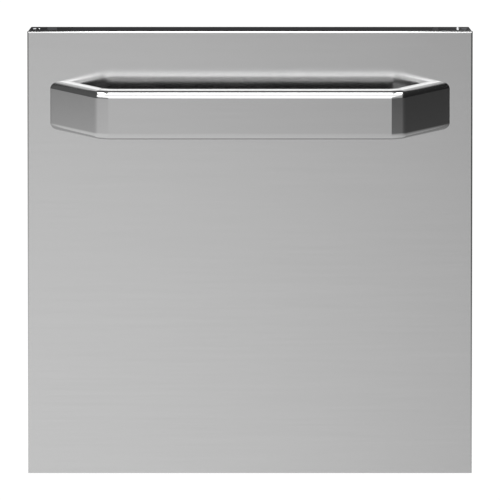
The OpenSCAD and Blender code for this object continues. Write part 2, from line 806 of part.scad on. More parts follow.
// A rack wheel on its stub axle.
module rack_wheel(side, y) {
    color(white) difference() {
        union() {
            bar_x(wheel_r - 0.2, side * wheel_x - 4.5, side * wheel_x + 4.5, y, wheel_z);
            bar_x(6, side * wheel_x - 6, side * wheel_x + 6, y, wheel_z);
        }
        bar_x(3 + fit, side * wheel_x - 8, side * wheel_x + 8, y, wheel_z);
        for (a = [0:60:300]) translate([0, y, wheel_z]) rotate([a, 0, 0])
            bar_x(2, side * wheel_x - 8, side * wheel_x + 8, 0, 9.4);
    }
}
module wheel_front_left() rack_wheel(-1, wheel_ys[0]);
module wheel_front_right() rack_wheel(1, wheel_ys[0]);
module wheel_rear_left() rack_wheel(-1, wheel_ys[1]);
module wheel_rear_right() rack_wheel(1, wheel_ys[1]);

// ---- Cutlery tray on its telescopic rails ----

tray_y = front_y + 90;
tray_floor = 398;
tray_top = 440;
rail_z = tray_floor + 20;
rail_bolts = [tub_y + 60, tub_y + 340];
rail_y0 = tub_y + 30;
rail_y1 = tub_y + 405;
rail_out = tub_w/2 - 0.2;
// The fixed C channels on the tub walls.
module tray_rails() {
    color(steel) both_sides() {
        difference() {
            slab(rail_out - 12, rail_out, rail_y0, rail_y1, rail_z - 12, rail_z + 12);
            slab(rail_out - 13, rail_out - 2, rail_y0 - 1, rail_y1 + 1, rail_z - 10, rail_z + 10);
        }
        for (y = rail_bolts) bar_x(2, rail_out - 2.1, rail_out + 4.4, y, rail_z);
    }
}
// The sliding members between the rails and the tray.
module tray_runners() {
    color(bright) both_sides() difference() {
        slab(rail_out - 14, rail_out - 3, rail_y0 + 4, rail_y1 - 4, rail_z - 9.6, rail_z + 9.6);
        slab(rail_out - 15, rail_out - 5, rail_y0, rail_y1, rail_z - 7.6, rail_z + 7.6);
    }
}
tray_x = rail_out - 20;
tray_wires = 13;
tray_y1 = tray_y + tray_d;
// The floor grid, and at its sides the bars that slide in the runners.
module tray_base() {
    step = (2*tray_x - 40) / (tray_wires - 1);
    color(grey) {
        for (i = [0:tray_wires - 1])
            wire_y(tray_y + 4, tray_y1 - 4, -tray_x + 20 + i*step, tray_floor + 2, 3);
        for (i = [1:6])
            wire_x(-tray_x + 4, tray_x - 4, tray_y + tray_d * i / 7, tray_floor + 1, 3);
    }
    color(bright) both_sides() {
        slab(tray_x, rail_out - 5.4, tray_y + 10, tray_y1 - 10, rail_z - 3, rail_z + 3);
        slab(rail_out - 8.4, rail_out - 5.4, tray_y + 10, tray_y1 - 10, rail_z - 7.2, rail_z + 7.2);
    }
}
// The rim and walls, with two rows of notched dividers.
module cutlery_tray() {
    color(grey) {
        for (z = [tray_floor + 2, tray_top - 2]) {
            for (y = [tray_y + 2, tray_y1 - 2]) wire_x(-tray_x, tray_x, y, z);
            both_sides() wire_y(tray_y, tray_y1, tray_x - 2, z);
        }
        for (x = [-tray_x + 2, -60, 60, tray_x - 2], y = [tray_y + 2, tray_y1 - 2])
            wire_z(tray_floor, tray_top, x, y);
        for (i = [2, 4])
            slab(-tray_x + 2, tray_x - 2, tray_y + tray_d*i/7 - 1, tray_y + tray_d*i/7 + 1,
                tray_floor + 3.5, tray_floor + 20);
        both_sides() slab(tray_x - 4, tray_x, tray_y, tray_y1, rail_z - 4, rail_z + 4);
    }
}

base_tray();
side_panel_left();
side_panel_right();
rear_panel();
top_cover();
front_frame();
tub();
door_seal();
latch_strike();
tray_rails();
sump();
fine_filter();
filter_cup();
circulation_pump();
drain_pump();
flow_heater();
water_softener();
salt_cap();
supply_pipe();
inlet_valve();
drain_spigot();
power_inlet();
control_box();
counterweight();
hinge_brackets();
hinge_springs();
float();
lower_spray_arm();
upper_spray_arm();
foot_front_left();
foot_front_right();
foot_rear_left();
foot_rear_right();
door_panel();
door_handle();
door_insulation();
door_liner();
door_screws();
bottom_seal();
hinge_arms();
control_housing();
touch_strip();
display_window();
power_button();
start_button();
door_latch();
detergent_dispenser();
dispenser_lid();
rinse_cap();
lower_rack();
tine_row_front();
tine_row_rear();
wheel_carriers();
wheel_front_left();
wheel_front_right();
wheel_rear_left();
wheel_rear_right();
tray_runners();
tray_base();
cutlery_tray();
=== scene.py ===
"""A built-in dishwasher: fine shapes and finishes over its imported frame."""
import json
import math

import bmesh
import bpy
from mathutils import Matrix, Vector

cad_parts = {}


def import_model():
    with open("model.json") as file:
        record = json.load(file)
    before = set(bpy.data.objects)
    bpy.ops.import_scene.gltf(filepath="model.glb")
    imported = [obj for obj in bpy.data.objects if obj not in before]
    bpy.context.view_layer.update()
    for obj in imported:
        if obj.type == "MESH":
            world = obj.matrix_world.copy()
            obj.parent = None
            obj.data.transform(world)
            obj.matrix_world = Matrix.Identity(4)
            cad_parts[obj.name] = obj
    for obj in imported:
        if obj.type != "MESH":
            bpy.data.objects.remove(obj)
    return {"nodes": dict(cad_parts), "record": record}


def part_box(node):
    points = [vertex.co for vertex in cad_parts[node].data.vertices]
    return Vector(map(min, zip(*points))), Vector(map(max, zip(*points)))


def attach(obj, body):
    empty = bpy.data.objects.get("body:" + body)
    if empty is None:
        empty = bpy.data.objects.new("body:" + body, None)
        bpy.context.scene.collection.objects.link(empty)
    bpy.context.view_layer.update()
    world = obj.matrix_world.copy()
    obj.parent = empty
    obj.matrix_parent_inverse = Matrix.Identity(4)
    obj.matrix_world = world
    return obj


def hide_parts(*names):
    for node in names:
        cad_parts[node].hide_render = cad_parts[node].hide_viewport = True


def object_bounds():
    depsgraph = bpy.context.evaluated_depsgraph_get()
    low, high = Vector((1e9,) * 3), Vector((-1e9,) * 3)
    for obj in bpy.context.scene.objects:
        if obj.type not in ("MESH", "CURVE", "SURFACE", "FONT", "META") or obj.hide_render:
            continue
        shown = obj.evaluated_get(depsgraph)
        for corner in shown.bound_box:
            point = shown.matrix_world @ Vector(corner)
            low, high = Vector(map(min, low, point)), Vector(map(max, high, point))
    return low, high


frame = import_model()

cad_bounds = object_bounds()
MM = 0.001
BODY = {n: b for b, nodes in frame["record"]["behaviour"]["bodies"].items() for n in nodes}
SLOT = {s["node"]: s["material_slot"] for s in frame["record"]["subparts"]}


# ---- Finishes ----

class Shade:
    """A socket of a material's tree. Arithmetic on it adds Math nodes."""

    def __init__(self, tree, socket=None):
        self.tree, self.socket = tree, socket

    def node(self, kind, settings=(), inputs=(), output=0):
        """Adds a node: its settings first, then its inputs, which are values or other sockets."""
        made = self.tree.nodes.new(kind)
        for key, value in dict(settings).items():
            setattr(made, key, value)
        for key, value in dict(inputs).items():
            if isinstance(value, Shade):
                self.tree.links.new(value.socket, made.inputs[key])
            else:
                made.inputs[key].default_value = value
        return Shade(self.tree, made.outputs[output])

    def math(self, operation, a, b=0.0):
        return self.node("ShaderNodeMath", {"operation": operation}, {0: a, 1: b})

    def __add__(self, other):
        return self.math("ADD", self, other)

    def __sub__(self, other):
        return self.math("SUBTRACT", self, other)

    def __mul__(self, other):
        return self.math("MULTIPLY", self, other)

    def __truediv__(self, other):
        return self.math("DIVIDE", self, other)

    def __pow__(self, other):
        return self.math("POWER", self, other)

    def __radd__(self, other):
        return self.math("ADD", other, self)

    def __rsub__(self, other):
        return self.math("SUBTRACT", other, self)

    def __rmul__(self, other):
        return self.math("MULTIPLY", other, self)

    def __rtruediv__(self, other):
        return self.math("DIVIDE", other, self)

    def place(self, stretch=(1, 1, 1)):
        """Object coordinates, in metres, times stretch."""
        here = self.node("ShaderNodeTexCoord", output="Object")
        return self.node("ShaderNodeMapping", {}, {"Vector": here, "Scale": stretch})

    def noise(self, stretch, detail=3.0, rough=0.5):
        return self.node("ShaderNodeTexNoise", {}, {
            "Vector": self.place(stretch), "Scale": 1.0, "Detail": detail, "Roughness": rough})

    def remap(self, low, high, to_low=0.0, to_high=1.0):
        return self.node("ShaderNodeMapRange", {}, {
            0: self, 1: low, 2: high, 3: to_low, 4: to_high})

    def blend(self, a, b):
        """Colour a where this value is 0, and b where it is 1."""
        return self.node("ShaderNodeMix", {"data_type": "RGBA"}, {0: self, 6: a, 7: b}, output=2)

    def bump(self, strength, distance):
        return self.node("ShaderNodeBump", {}, {
            "Height": self, "Strength": strength, "Distance": distance})


def grey(level, tint=(1.0, 1.0, 1.0)):
    return (*[min(1.0, level * t) for t in tint], 1.0)


def new_finish(name, varies, **plain):
    """A Principled material. varies(shade) gives what changes over the surface, by socket name."""
    made = bpy.data.materials.new(name)
    made.use_nodes = True
    tree = made.node_tree
    shader = tree.nodes["Principled BSDF"]
    for key, value in plain.items():
        shader.inputs[key.replace("_", " ")].default_value = value
    for key, value in varies(Shade(tree)).items():
        tree.links.new(value.socket, shader.inputs[key])
    return made


def brushed_steel(name, level, rough, along, depth=0.04):
    """Steel with fine parallel grain. along is the coordinate that the grain runs in: 0, 1 or 2."""
    def varies(s):
        fine = [1400.0, 1400.0, 1400.0]
        fine[along] = 14.0
        broad = [120.0, 120.0, 120.0]
        broad[along] = 3.0
        grain = s.noise(fine, 2.0)
        bands = s.noise(broad, 3.0)
        smudge = s.noise((9.0, 9.0, 9.0), 4.0, 0.6).remap(0.35, 0.75)
        tone = grain * 0.55 + bands * 0.45
        return {
            "Base Color": tone.remap(0.3, 0.7).blend(grey(level * 0.98), grey(level * 1.02)),
            "Roughness": tone * 0.04 + smudge * 0.02 + (rough - 0.02),
            "Normal": grain.bump(depth, 0.00005)}
    return new_finish(name, varies, Metallic=1.0)


def pressed_steel(name, level, rough):
    """Satin sheet that has been drawn and washed: soft waves, faint water marks."""
    def varies(s):
        grain = s.noise((700.0, 700.0, 700.0), 2.0)
        wave = s.noise((6.0, 6.0, 6.0), 2.0)
        marks = s.noise((38.0, 38.0, 22.0), 5.0, 0.65).remap(0.55, 0.7)
        return {
            "Base Color": marks.blend(grey(level), grey(level * 0.93, (1.0, 0.995, 0.98))),
            "Roughness": grain * 0.06 + marks * 0.06 + (rough - 0.03),
            "Normal": (wave * 0.9 + grain * 0.1).bump(0.12, 0.002)}
    return new_finish(name, varies, Metallic=1.0)


def zinc_sheet(name, level):
    """Galvanised sheet with its spangle."""
    def varies(s):
        flakes = s.node("ShaderNodeTexVoronoi", {}, {
            "Vector": s.place((95.0, 95.0, 95.0)), "Scale": 1.0}, output="Color")
        tone = s.node("ShaderNodeSeparateColor", {}, {0: flakes})
        grain = s.noise((500.0, 500.0, 500.0), 2.0)
        dull = s.noise((7.0, 7.0, 7.0), 4.0, 0.6).remap(0.4, 0.7)
        return {
            "Base Color": tone.blend(
                grey(level * 0.9, (0.98, 1.0, 1.02)), grey(level * 1.08, (0.99, 1.0, 1.01))),
            "Roughness": tone * 0.12 + dull * 0.08 + grain * 0.04 + 0.28,
            "Normal": (tone * 0.5 + grain * 0.5).bump(0.08, 0.0002)}
    return new_finish(name, varies, Metallic=0.95)


def plated(name, level):
    """Zinc or nickel plate on small steel pieces."""
    def varies(s):
        grain = s.noise((900.0, 900.0, 900.0), 2.0)
        dull = s.noise((60.0, 60.0, 60.0), 3.0).remap(0.4, 0.7)
        return {
            "Base Color": dull.blend(grey(level), grey(level * 0.88, (1.0, 1.0, 0.98))),
            "Roughness": dull * 0.1 + grain * 0.05 + 0.2,
            "Normal": grain.bump(0.05, 0.0001)}
    return new_finish(name, varies, Metallic=1.0)


def moulded(name, colour, rough, texture=1100.0, depth=0.25, scuff=0.5, **plain):
    """Moulded plastic or rubber with a fine eroded texture, and scuffs that turn it dull."""
    def varies(s):
        grain = s.noise((texture,) * 3, 3.0, 0.6)
        flow = s.noise((14.0, 14.0, 14.0), 3.0)
        scuffs = s.noise((70.0, 25.0, 70.0), 5.0, 0.7).remap(0.58, 0.72) * scuff
        pale = tuple(min(1.0, c * 1.12 + 0.004) for c in colour[:3]) + (1.0,)
        return {
            "Base Color": (flow * 0.5 + scuffs * 0.5).blend(colour, pale),
            "Roughness": grain * 0.1 + scuffs * 0.1 + (rough - 0.05),
            "Normal": grain.bump(depth, 0.0001)}
    return new_finish(name, varies, **plain)


def powder_coat(name, colour):
    def varies(s):
        peel = s.noise((420.0, 420.0, 420.0), 2.0)
        dust = s.noise((11.0, 11.0, 11.0), 4.0, 0.6).remap(0.5, 0.75)
        return {
            "Base Color": (dust * 0.35).blend(colour, grey(0.4)),
            "Roughness": peel * 0.12 + dust * 0.1 + 0.36,
            "Normal": peel.bump(0.3, 0.0002)}
    return new_finish(name, varies)


def rough_cast(name, level):
    def varies(s):
        pits = s.noise((260.0, 260.0, 260.0), 5.0, 0.7)
        rust = s.noise((24.0, 24.0, 24.0), 5.0, 0.7).remap(0.55, 0.7) * 0.4
        return {
            "Base Color": rust.blend(grey(level), (level * 1.1, level * 0.75, level * 0.6, 1.0)),
            "Roughness": pits * 0.25 + 0.5,
            "Normal": pits.bump(0.6, 0.0006)}
    return new_finish(name, varies, Metallic=0.6)


def felt(name, level):
    def varies(s):
        fibres = s.noise((900.0, 260.0, 900.0), 5.0, 0.8)
        clumps = s.noise((40.0, 40.0, 40.0), 4.0, 0.6)
        return {
            "Base Color": (fibres * 0.6 + clumps * 0.4).blend(grey(level * 0.5), grey(level * 1.7)),
            "Roughness": fibres * 0.1 + 0.88,
            "Normal": (fibres * 0.7 + clumps * 0.3).bump(0.8, 0.0012)}
    return new_finish(name, varies)


def dark_glass(name, colour, rough):
    """Smoked cover with faint finger marks."""
    def varies(s):
        marks = s.noise((55.0, 120.0, 55.0), 4.0, 0.6).remap(0.5, 0.7)
        fine = s.noise((800.0, 800.0, 800.0), 2.0)
        return {
            "Base Color": marks.blend(colour, tuple(c * 1.25 for c in colour[:3]) + (1.0,)),
            "Roughness": marks * 0.08 + fine * 0.03 + rough,
            "Normal": fine.bump(0.03, 0.00005)}
    return new_finish(name, varies, Specular_IOR_Level=0.25)


FINISH = {
    "steel_panel": brushed_steel("satin_door_steel", 0.50, 0.15, 0),
    "handle_steel": brushed_steel("polished_handle_steel", 0.47, 0.11, 0, depth=0.01),
    "tub_steel": pressed_steel("drawn_tub_steel", 0.58, 0.27),
    "zinc_steel": zinc_sheet("galvanised_sheet", 0.56),
    "fastener": plated("nickel_plate", 0.62),
    "black_plastic": moulded(
        "black_housing_plastic", (0.010, 0.010, 0.011, 1.0), 0.48, Specular_IOR_Level=0.2),
    "dark_plastic": moulded(
        "dark_button_plastic", (0.042, 0.043, 0.046, 1.0), 0.42, Specular_IOR_Level=0.3),
    "gloss_black": dark_glass("smoked_cover", (0.010, 0.010, 0.012, 1.0), 0.1),
    "grey_plastic": moulded("grey_moulding", (0.23, 0.235, 0.245, 1.0), 0.42),
    "white_plastic": moulded("white_moulding", (0.72, 0.73, 0.74, 1.0), 0.36, scuff=0.3),
    "blue_plastic": moulded("blue_cap_plastic", (0.035, 0.12, 0.34, 1.0), 0.34),
    "rubber_black": moulded("soft_black_rubber", (0.018, 0.018, 0.018, 1.0), 0.62, 600.0, 0.4, 0.8),
    "felt": felt("bitumen_felt", 0.05),
    "coated_wire": moulded("nylon_on_wire", (0.27, 0.28, 0.30, 1.0), 0.33, 500.0, 0.2, 0.4),
    "cast": rough_cast("cast_iron_block", 0.12),
    "grey_paint": powder_coat("grey_powder_coat", (0.13, 0.135, 0.14, 1.0)),
}


# ---- Making and placing pieces ----

def add(name, mesh, body, slot, replaces=(), angle=32):
    """Puts a finished mesh into the scene as one piece that rides on a body."""
    mesh.materials.clear()
    mesh.materials.append(FINISH[slot])
    mesh.shade_smooth()
    mesh.set_sharp_from_angle(angle=math.radians(angle))
    mesh = modified(mesh, ("WEIGHTED_NORMAL", {"keep_sharp": True, "weight": 90}))
    piece = bpy.data.objects.new(name, mesh)
    bpy.context.scene.collection.objects.link(piece)
    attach(piece, body)
    if replaces:
        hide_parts(*replaces)
    return piece


def to_mesh(bm, name):
    mesh = bpy.data.meshes.new(name)
    bm.to_mesh(mesh)
    bm.free()
    return mesh


def modified(mesh, *steps):
    """The mesh after these modifiers. Each step is a modifier type and its settings."""
    work = bpy.data.objects.new("work", mesh)
    bpy.context.scene.collection.objects.link(work)
    for kind, settings in steps:
        modifier = work.modifiers.new(kind, kind)
        for key, value in settings.items():
            setattr(modifier, key, value)
    graph = bpy.context.evaluated_depsgraph_get()
    result = bpy.data.meshes.new_from_object(work.evaluated_get(graph))
    bpy.data.objects.remove(work)
    return result


def outward(bm):
    bmesh.ops.remove_doubles(bm, verts=bm.verts, dist=1e-6)
    bmesh.ops.recalc_face_normals(bm, faces=bm.faces)
    return bm


def softened(node, width):
    """The CAD node with its edges rounded over, as a piece of its own."""
    bm = bmesh.new()
    bm.from_mesh(frame["nodes"][node].data)
    bmesh.ops.remove_doubles(bm, verts=bm.verts, dist=2e-6)
    bmesh.ops.dissolve_limit(bm, angle_limit=math.radians(2), verts=bm.verts, edges=bm.edges)
    sharp = [e for e in bm.edges if len(e.link_faces) == 2 and e.calc_face_angle(0) > math.radians(28)]
    bmesh.ops.bevel(bm, geom=sharp, offset=width * MM, segments=2, profile=0.5,
                    affect="EDGES", clamp_overlap=True, offset_type="OFFSET")
    return add(node + "_finished", to_mesh(bm, node), BODY[node], SLOT[node], [node])


def rounded(bm, name, width, segments):
    """The blocks in bm as a mesh, with their edges rounded."""
    steps = {"width": width, "segments": segments, "limit_method": "ANGLE"}
    return modified(to_mesh(bm, name), ("BEVEL", steps))


def block(bm, low, high):
    """Adds a box between two corners."""
    size = Vector(high) - Vector(low)
    middle = (Vector(high) + Vector(low)) / 2
    bmesh.ops.create_cube(bm, size=1.0, matrix=Matrix.Translation(middle) @ Matrix.Diagonal((*size, 1.0)))


def side_block(bm, side, across, low, high):
    """Adds a box left (side -1) or right (1) of the middle. low and high are its corners as (y, z)."""
    near, far = sorted(side * distance for distance in across)
    block(bm, (near, *low), (far, *high))


def turned(bm, outline, centre, axis="z", steps=48):
    """Adds a turned shape. outline runs from one end of the axis to the other, as (radius, height)."""
    turn = {"x": Matrix.Rotation(math.pi / 2, 4, "Y"), "y": Matrix.Rotation(-math.pi / 2, 4, "X"),
            "z": Matrix.Identity(4)}[axis]
    rings = []
    for radius, height in outline:
        if radius <= 1e-9:
            rings.append([bm.verts.new((0, 0, height))])
        else:
            rings.append([bm.verts.new((radius * math.cos(2 * math.pi * i / steps),
                                        radius * math.sin(2 * math.pi * i / steps), height))
                          for i in range(steps)])
    for low, high in zip(rings, rings[1:]):
        for i in range(steps):
            j = (i + 1) % steps
            if len(low) == 1 and len(high) > 1:
                bm.faces.new((low[0], high[j], high[i]))
            elif len(high) == 1 and len(low) > 1:
                bm.faces.new((low[i], low[j], high[0]))
            elif len(low) > 1:
                bm.faces.new((low[i], low[j], high[j], high[i]))
    verts = [v for ring in rings for v in ring]
    bmesh.ops.transform(bm, matrix=Matrix.Translation(centre) @ turn, verts=verts)
    return verts


def round_section(width, height, radius, steps=6):
    """A rounded rectangle's outline, centred, as (across, up) points."""
    points = []
    for cx, cy, start in ((1, 1, 0), (-1, 1, 90), (-1, -1, 180), (1, -1, 270)):
        for i in range(steps + 1):
            a = math.radians(start + 90 * i / steps)
            points.append((cx * (width / 2 - radius) + radius * math.cos(a),
                           cy * (height / 2 - radius) + radius * math.sin(a)))
    return points


def skin(bm, loops):
    """Joins loops of points that all have the same length, and closes both ends."""
    made = [[bm.verts.new(p) for p in loop] for loop in loops]
    count = len(made[0])
    for low, high in zip(made, made[1:]):
        for i in range(count):
            j = (i + 1) % count
            bm.faces.new((low[i], low[j], high[j], high[i]))
    bm.faces.new(list(reversed(made[0])))
    bm.faces.new(made[-1])


# ---- Geometry Nodes: wires that follow a path, and fittings set on points ----

class Rig:
    """A geometry node tree with named inputs."""

    def __init__(self, name, inputs):
        self.tree = bpy.data.node_groups.new(name, "GeometryNodeTree")
        face = self.tree.interface
        face.new_socket("Geometry", in_out="INPUT", socket_type="NodeSocketGeometry")
        for key, kind in inputs.items():
            face.new_socket(key, in_out="INPUT", socket_type=kind)
        face.new_socket("Geometry", in_out="OUTPUT", socket_type="NodeSocketGeometry")
        self.source = self.tree.nodes.new("NodeGroupInput")
        self.end = self.tree.nodes.new("NodeGroupOutput")

    def node(self, kind, settings=(), inputs=(), output=0):
        made = self.tree.nodes.new(kind)
        for key, value in dict(settings).items():
            setattr(made, key, value)
        for key, value in dict(inputs).items():
            if isinstance(value, bpy.types.NodeSocket):
                self.tree.links.new(value, made.inputs[key])
            else:
                made.inputs[key].default_value = value
        return made.outputs[output]

    def given(self, name):
        return self.source.outputs[name]

    def close(self, geometry):
        solid = self.node("GeometryNodeRealizeInstances", {}, {0: geometry})
        coated = self.node("GeometryNodeSetMaterial", {}, {0: solid, "Material": self.given("Finish")})
        self.tree.links.new(coated, self.end.inputs[0])
        return self.tree

    def run(self, mesh, **values):
        """The mesh after this tree, with its inputs set by name."""
        work = bpy.data.objects.new("work", mesh)
        bpy.context.scene.collection.objects.link(work)
        modifier = work.modifiers.new("rig", "NODES")
        modifier.node_group = self.tree
        for item in self.tree.interface.items_tree:
            if item.in_out == "INPUT" and item.name in values:
                modifier[item.identifier] = values[item.name]
        graph = bpy.context.evaluated_depsgraph_get()
        result = bpy.data.meshes.new_from_object(work.evaluated_get(graph))
        bpy.data.objects.remove(work)
        return result


def wire_rig():
    """Round wire along every run of edges, with its corners bent to a radius."""
    rig = Rig("bent_wire", {"Radius": "NodeSocketFloat", "Bend": "NodeSocketFloat",
                            "Sides": "NodeSocketInt", "Finish": "NodeSocketMaterial"})
    line = rig.node("GeometryNodeMeshToCurve", {}, {0: rig.given("Geometry")})
    bent = rig.node("GeometryNodeFilletCurve", {"mode": "POLY"}, {
        "Curve": line, "Radius": rig.given("Bend"), "Limit Radius": True, "Count": 4})
    ring = rig.node("GeometryNodeCurvePrimitiveCircle", {}, {
        "Resolution": rig.given("Sides"), "Radius": rig.given("Radius")})
    tube = rig.node("GeometryNodeCurveToMesh", {}, {
        "Curve": bent, "Profile Curve": ring, "Fill Caps": True})
    rig.close(tube)
    return rig


def set_rig():
    """One fitting on every point."""
    rig = Rig("fittings_on_points", {"Fitting": "NodeSocketObject", "Finish": "NodeSocketMaterial"})
    fitting = rig.node("GeometryNodeObjectInfo", {}, {"Object": rig.given("Fitting")}, output="Geometry")
    placed = rig.node("GeometryNodeInstanceOnPoints", {}, {
        "Points": rig.given("Geometry"), "Instance": fitting})
    rig.close(placed)
    return rig


WIRE = wire_rig()
ON_POINTS = set_rig()


def runs(lines):
    """A mesh of open runs of edges."""
    mesh = bpy.data.meshes.new("runs")
    points, edges = [], []
    for line in lines:
        first = len(points)
        points += [tuple(p) for p in line]
        edges += [(first + i, first + i + 1) for i in range(len(line) - 1)]
    mesh.from_pydata(points, edges, [])
    return mesh


def wires(name, lines, radius, bend, body, slot, replaces=(), sides=10):
    """Round wire along each line of points, as one piece."""
    mesh = WIRE.run(runs(lines), Radius=radius, Bend=bend, Sides=sides, Finish=FINISH[slot])
    return add(name, mesh, body, slot, replaces, angle=50)


def hoop(x, y0, y1, z):
    """A level ring of wire, starting in the middle of its front."""
    return [(0, y0, z), (-x, y0, z), (-x, y1, z), (x, y1, z), (x, y0, z), (0, y0, z)]


def cradle(x0, x1, y0, y1, top, floor):
    """Wire that runs down one wall, over the floor and up the other wall."""
    return [(x0, y0, top), (x0, y0, floor), (x1, y1, floor), (x1, y1, top)]


def fitted(name, shape, points, body, slot):
    """Copies of one small shape on a list of points, as one piece."""
    template = bpy.data.objects.new("template", shape)
    bpy.context.scene.collection.objects.link(template)
    mesh = bpy.data.meshes.new("points")
    mesh.from_pydata([tuple(p) for p in points], [], [])
    made = ON_POINTS.run(mesh, Fitting=template, Finish=FINISH[slot])
    bpy.data.objects.remove(template)
    return add(name, made, body, slot)


def screw_shape(radius, height, facing):
    """A pan head with a hexagonal socket, its seat at the origin, facing an axis."""
    bm = bmesh.new()
    hex_r = radius * 0.42
    outline = [(0, -height * 0.3), (radius * 0.5, -height * 0.3), (radius * 0.5, 0), (radius, 0),
               (radius, height * 0.35), (radius * 0.9, height * 0.75), (radius * 0.7, height * 0.95),
               (hex_r * 1.15, height), (hex_r, height * 0.9), (hex_r, height * 0.35), (0, height * 0.3)]
    turned(bm, outline, (0, 0, 0), "z", 24)
    turn = {"+x": Matrix.Rotation(math.pi / 2, 4, "Y"), "-x": Matrix.Rotation(-math.pi / 2, 4, "Y"),
            "-y": Matrix.Rotation(math.pi / 2, 4, "X"), "+y": Matrix.Rotation(-math.pi / 2, 4, "X"),
            "+z": Matrix.Identity(4)}[facing]
    bmesh.ops.transform(bm, matrix=turn, verts=bm.verts)
    return to_mesh(outward(bm), "screw")


# ---- Door front and handle ----

SHEET = 1.2 * MM
FOLD = 2 * MM


def door_front():
    """One folded sheet: the face, two side returns, a narrow top return and a foot return."""
    lo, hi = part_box("door_panel")
    top_return, foot_return, side_cut = 3 * MM, 6 * MM, 6 * MM
    bm = bmesh.new()
    a, b, c, d = [bm.verts.new((x, lo.y, z)) for x, z in
                  ((lo.x, lo.z), (hi.x, lo.z), (hi.x, hi.z), (lo.x, hi.z))]
    face = bm.faces.new((a, b, c, d))
    for x, low, high in ((lo.x, a, d), (hi.x, b, c)):
        low_back = bm.verts.new((x, hi.y, lo.z))
        high_back = bm.verts.new((x, hi.y, hi.z - side_cut))
        ring = (low, high, high_back, low_back)
        bm.faces.new(ring if x < 0 else tuple(reversed(ring)))
    for z, left, right, depth in ((lo.z, a, b, foot_return), (hi.z, d, c, top_return)):
        inset = depth * 0.6
        back_left = bm.verts.new((lo.x + inset, lo.y + depth, z))
        back_right = bm.verts.new((hi.x - inset, lo.y + depth, z))
        ring = (left, back_left, back_right, right)
        bm.faces.new(ring if z < hi.z / 2 else tuple(reversed(ring)))
    bmesh.ops.bevel(bm, geom=list(face.edges), offset=FOLD, segments=5, profile=0.3, affect="EDGES")
    mesh = modified(to_mesh(bm, "door_front"), ("SOLIDIFY", {"thickness": SHEET, "offset": -1.0}))
    return add("door_front_sheet", mesh, "door", "steel_panel", ["door_panel"], angle=40)


ARM_ANGLE = math.radians(46)
FACET_ANGLE = math.radians(17)
FACET = 14.6 * MM
BEND_R = 14 * MM
BAR_DEPTH = 28 * MM
EDGE_R = 10 * MM


def handle_outline(lo, hi):
    """The right half of the bar's front outline, from the crease outwards, as points with the way they face.

    From the flat front a short facet leaves at a crease, then turns through a bend into the arm."""
    steps = 6
    path = [(Vector((0, 0)), FACET_ANGLE / 2, 1 / math.cos(FACET_ANGLE / 2))]
    end = Vector((math.cos(FACET_ANGLE), math.sin(FACET_ANGLE))) * FACET
    for step in range(steps + 1):
        turn = FACET_ANGLE + (ARM_ANGLE - FACET_ANGLE) * step / steps
        across = math.sin(turn) - math.sin(FACET_ANGLE)
        back = math.cos(FACET_ANGLE) - math.cos(turn)
        path.append((end + Vector((across, back)) * BEND_R, turn, 1.0))
    # The bend is placed so that the arm's line meets the door at the outer end of the bar
    depth = hi.y - lo.y
    last = path[-1][0]
    start = hi.x - depth / math.tan(ARM_ANGLE) - (last.x - last.y / math.tan(ARM_ANGLE))
    along = Vector((math.cos(ARM_ANGLE), math.sin(ARM_ANGLE)))
    path.append((last + along * ((depth - last.y) / along.y), ARM_ANGLE, 1.0))
    return [(Vector((start + p.x, lo.y + p.y, 0)), Vector((math.sin(turn), -math.cos(turn), 0)), stretch)
            for p, turn, stretch in path]


def handle_bar():
    """The faceted bar, swept as one rounded section and cut off flat at the door."""
    lo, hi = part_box("door_handle")
    middle = Vector((0, 0, (lo.z + hi.z) / 2))
    section = round_section(BAR_DEPTH, hi.z - lo.z, EDGE_R, 8)
    outline = handle_outline(lo, hi)
    along = Vector((math.cos(ARM_ANGLE), math.sin(ARM_ANGLE), 0))
    half = []
    for point, facing, stretch in outline:
        loop = [point + middle - facing * (BAR_DEPTH / 2 - across) * stretch + Vector((0, 0, up))
                for across, up in section]
        half.append(loop)
    half[-1] = [p + along * ((hi.y - p.y) / along.y) for p in half[-1]]
    mirrored = [[Vector((-p.x, p.y, p.z)) for p in loop] for loop in reversed(half)]
    bm = bmesh.new()
    skin(bm, mirrored + half)
    mesh = to_mesh(outward(bm), "handle_bar")
    return add("handle_bar", mesh, "door", "handle_steel", ["door_handle"], angle=15)


# ---- Controls on the door's top edge ----

def lamp_lenses():
    """Two small white domes at the left end of the controls, which stand as painted highlights, and a thin
    white bar at the right end.
    """
    lo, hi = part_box("control_housing")
    y = (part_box("touch_strip")[0].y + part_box("touch_strip")[1].y) / 2
    bm = bmesh.new()
    # Painted highlights: two white domes stand in for bright glints at the left end of the controls.
    for x, radius in ((-287.5 * MM, 2.2 * MM), (-281.5 * MM, 1.3 * MM)):
        dome = [(0, -1.5 * MM), (radius, -1.5 * MM), (radius, 0.1 * MM), (radius * 0.8, 0.35 * MM),
                (0, 0.45 * MM)]
        turned(bm, dome, (x, y, hi.z), "z", 20)
    block(bm, (276.3 * MM, lo.y + 10 * MM, hi.z - 1 * MM), (278.7 * MM, hi.y - 3 * MM, hi.z + 0.3 * MM))
    return add("lamp_lenses", to_mesh(outward(bm), "glint_domes"), "door", "white_plastic")


# ---- Racks ----

WIRE_R = 2.0 * MM
RACK_HALF = 238 * MM
RACK_FLOOR = 162 * MM
RACK_WAIST = 250 * MM
RACK_RIBS = 11
RIB_PITCH = 41.6 * MM
TINES = 12
TRAY_HALF = 237.8 * MM
TRAY_WIRES = 13
TRAY_PITCH = 35.3 * MM
TRAY_PANES = 7
DIVIDER_NOTCHES = 40


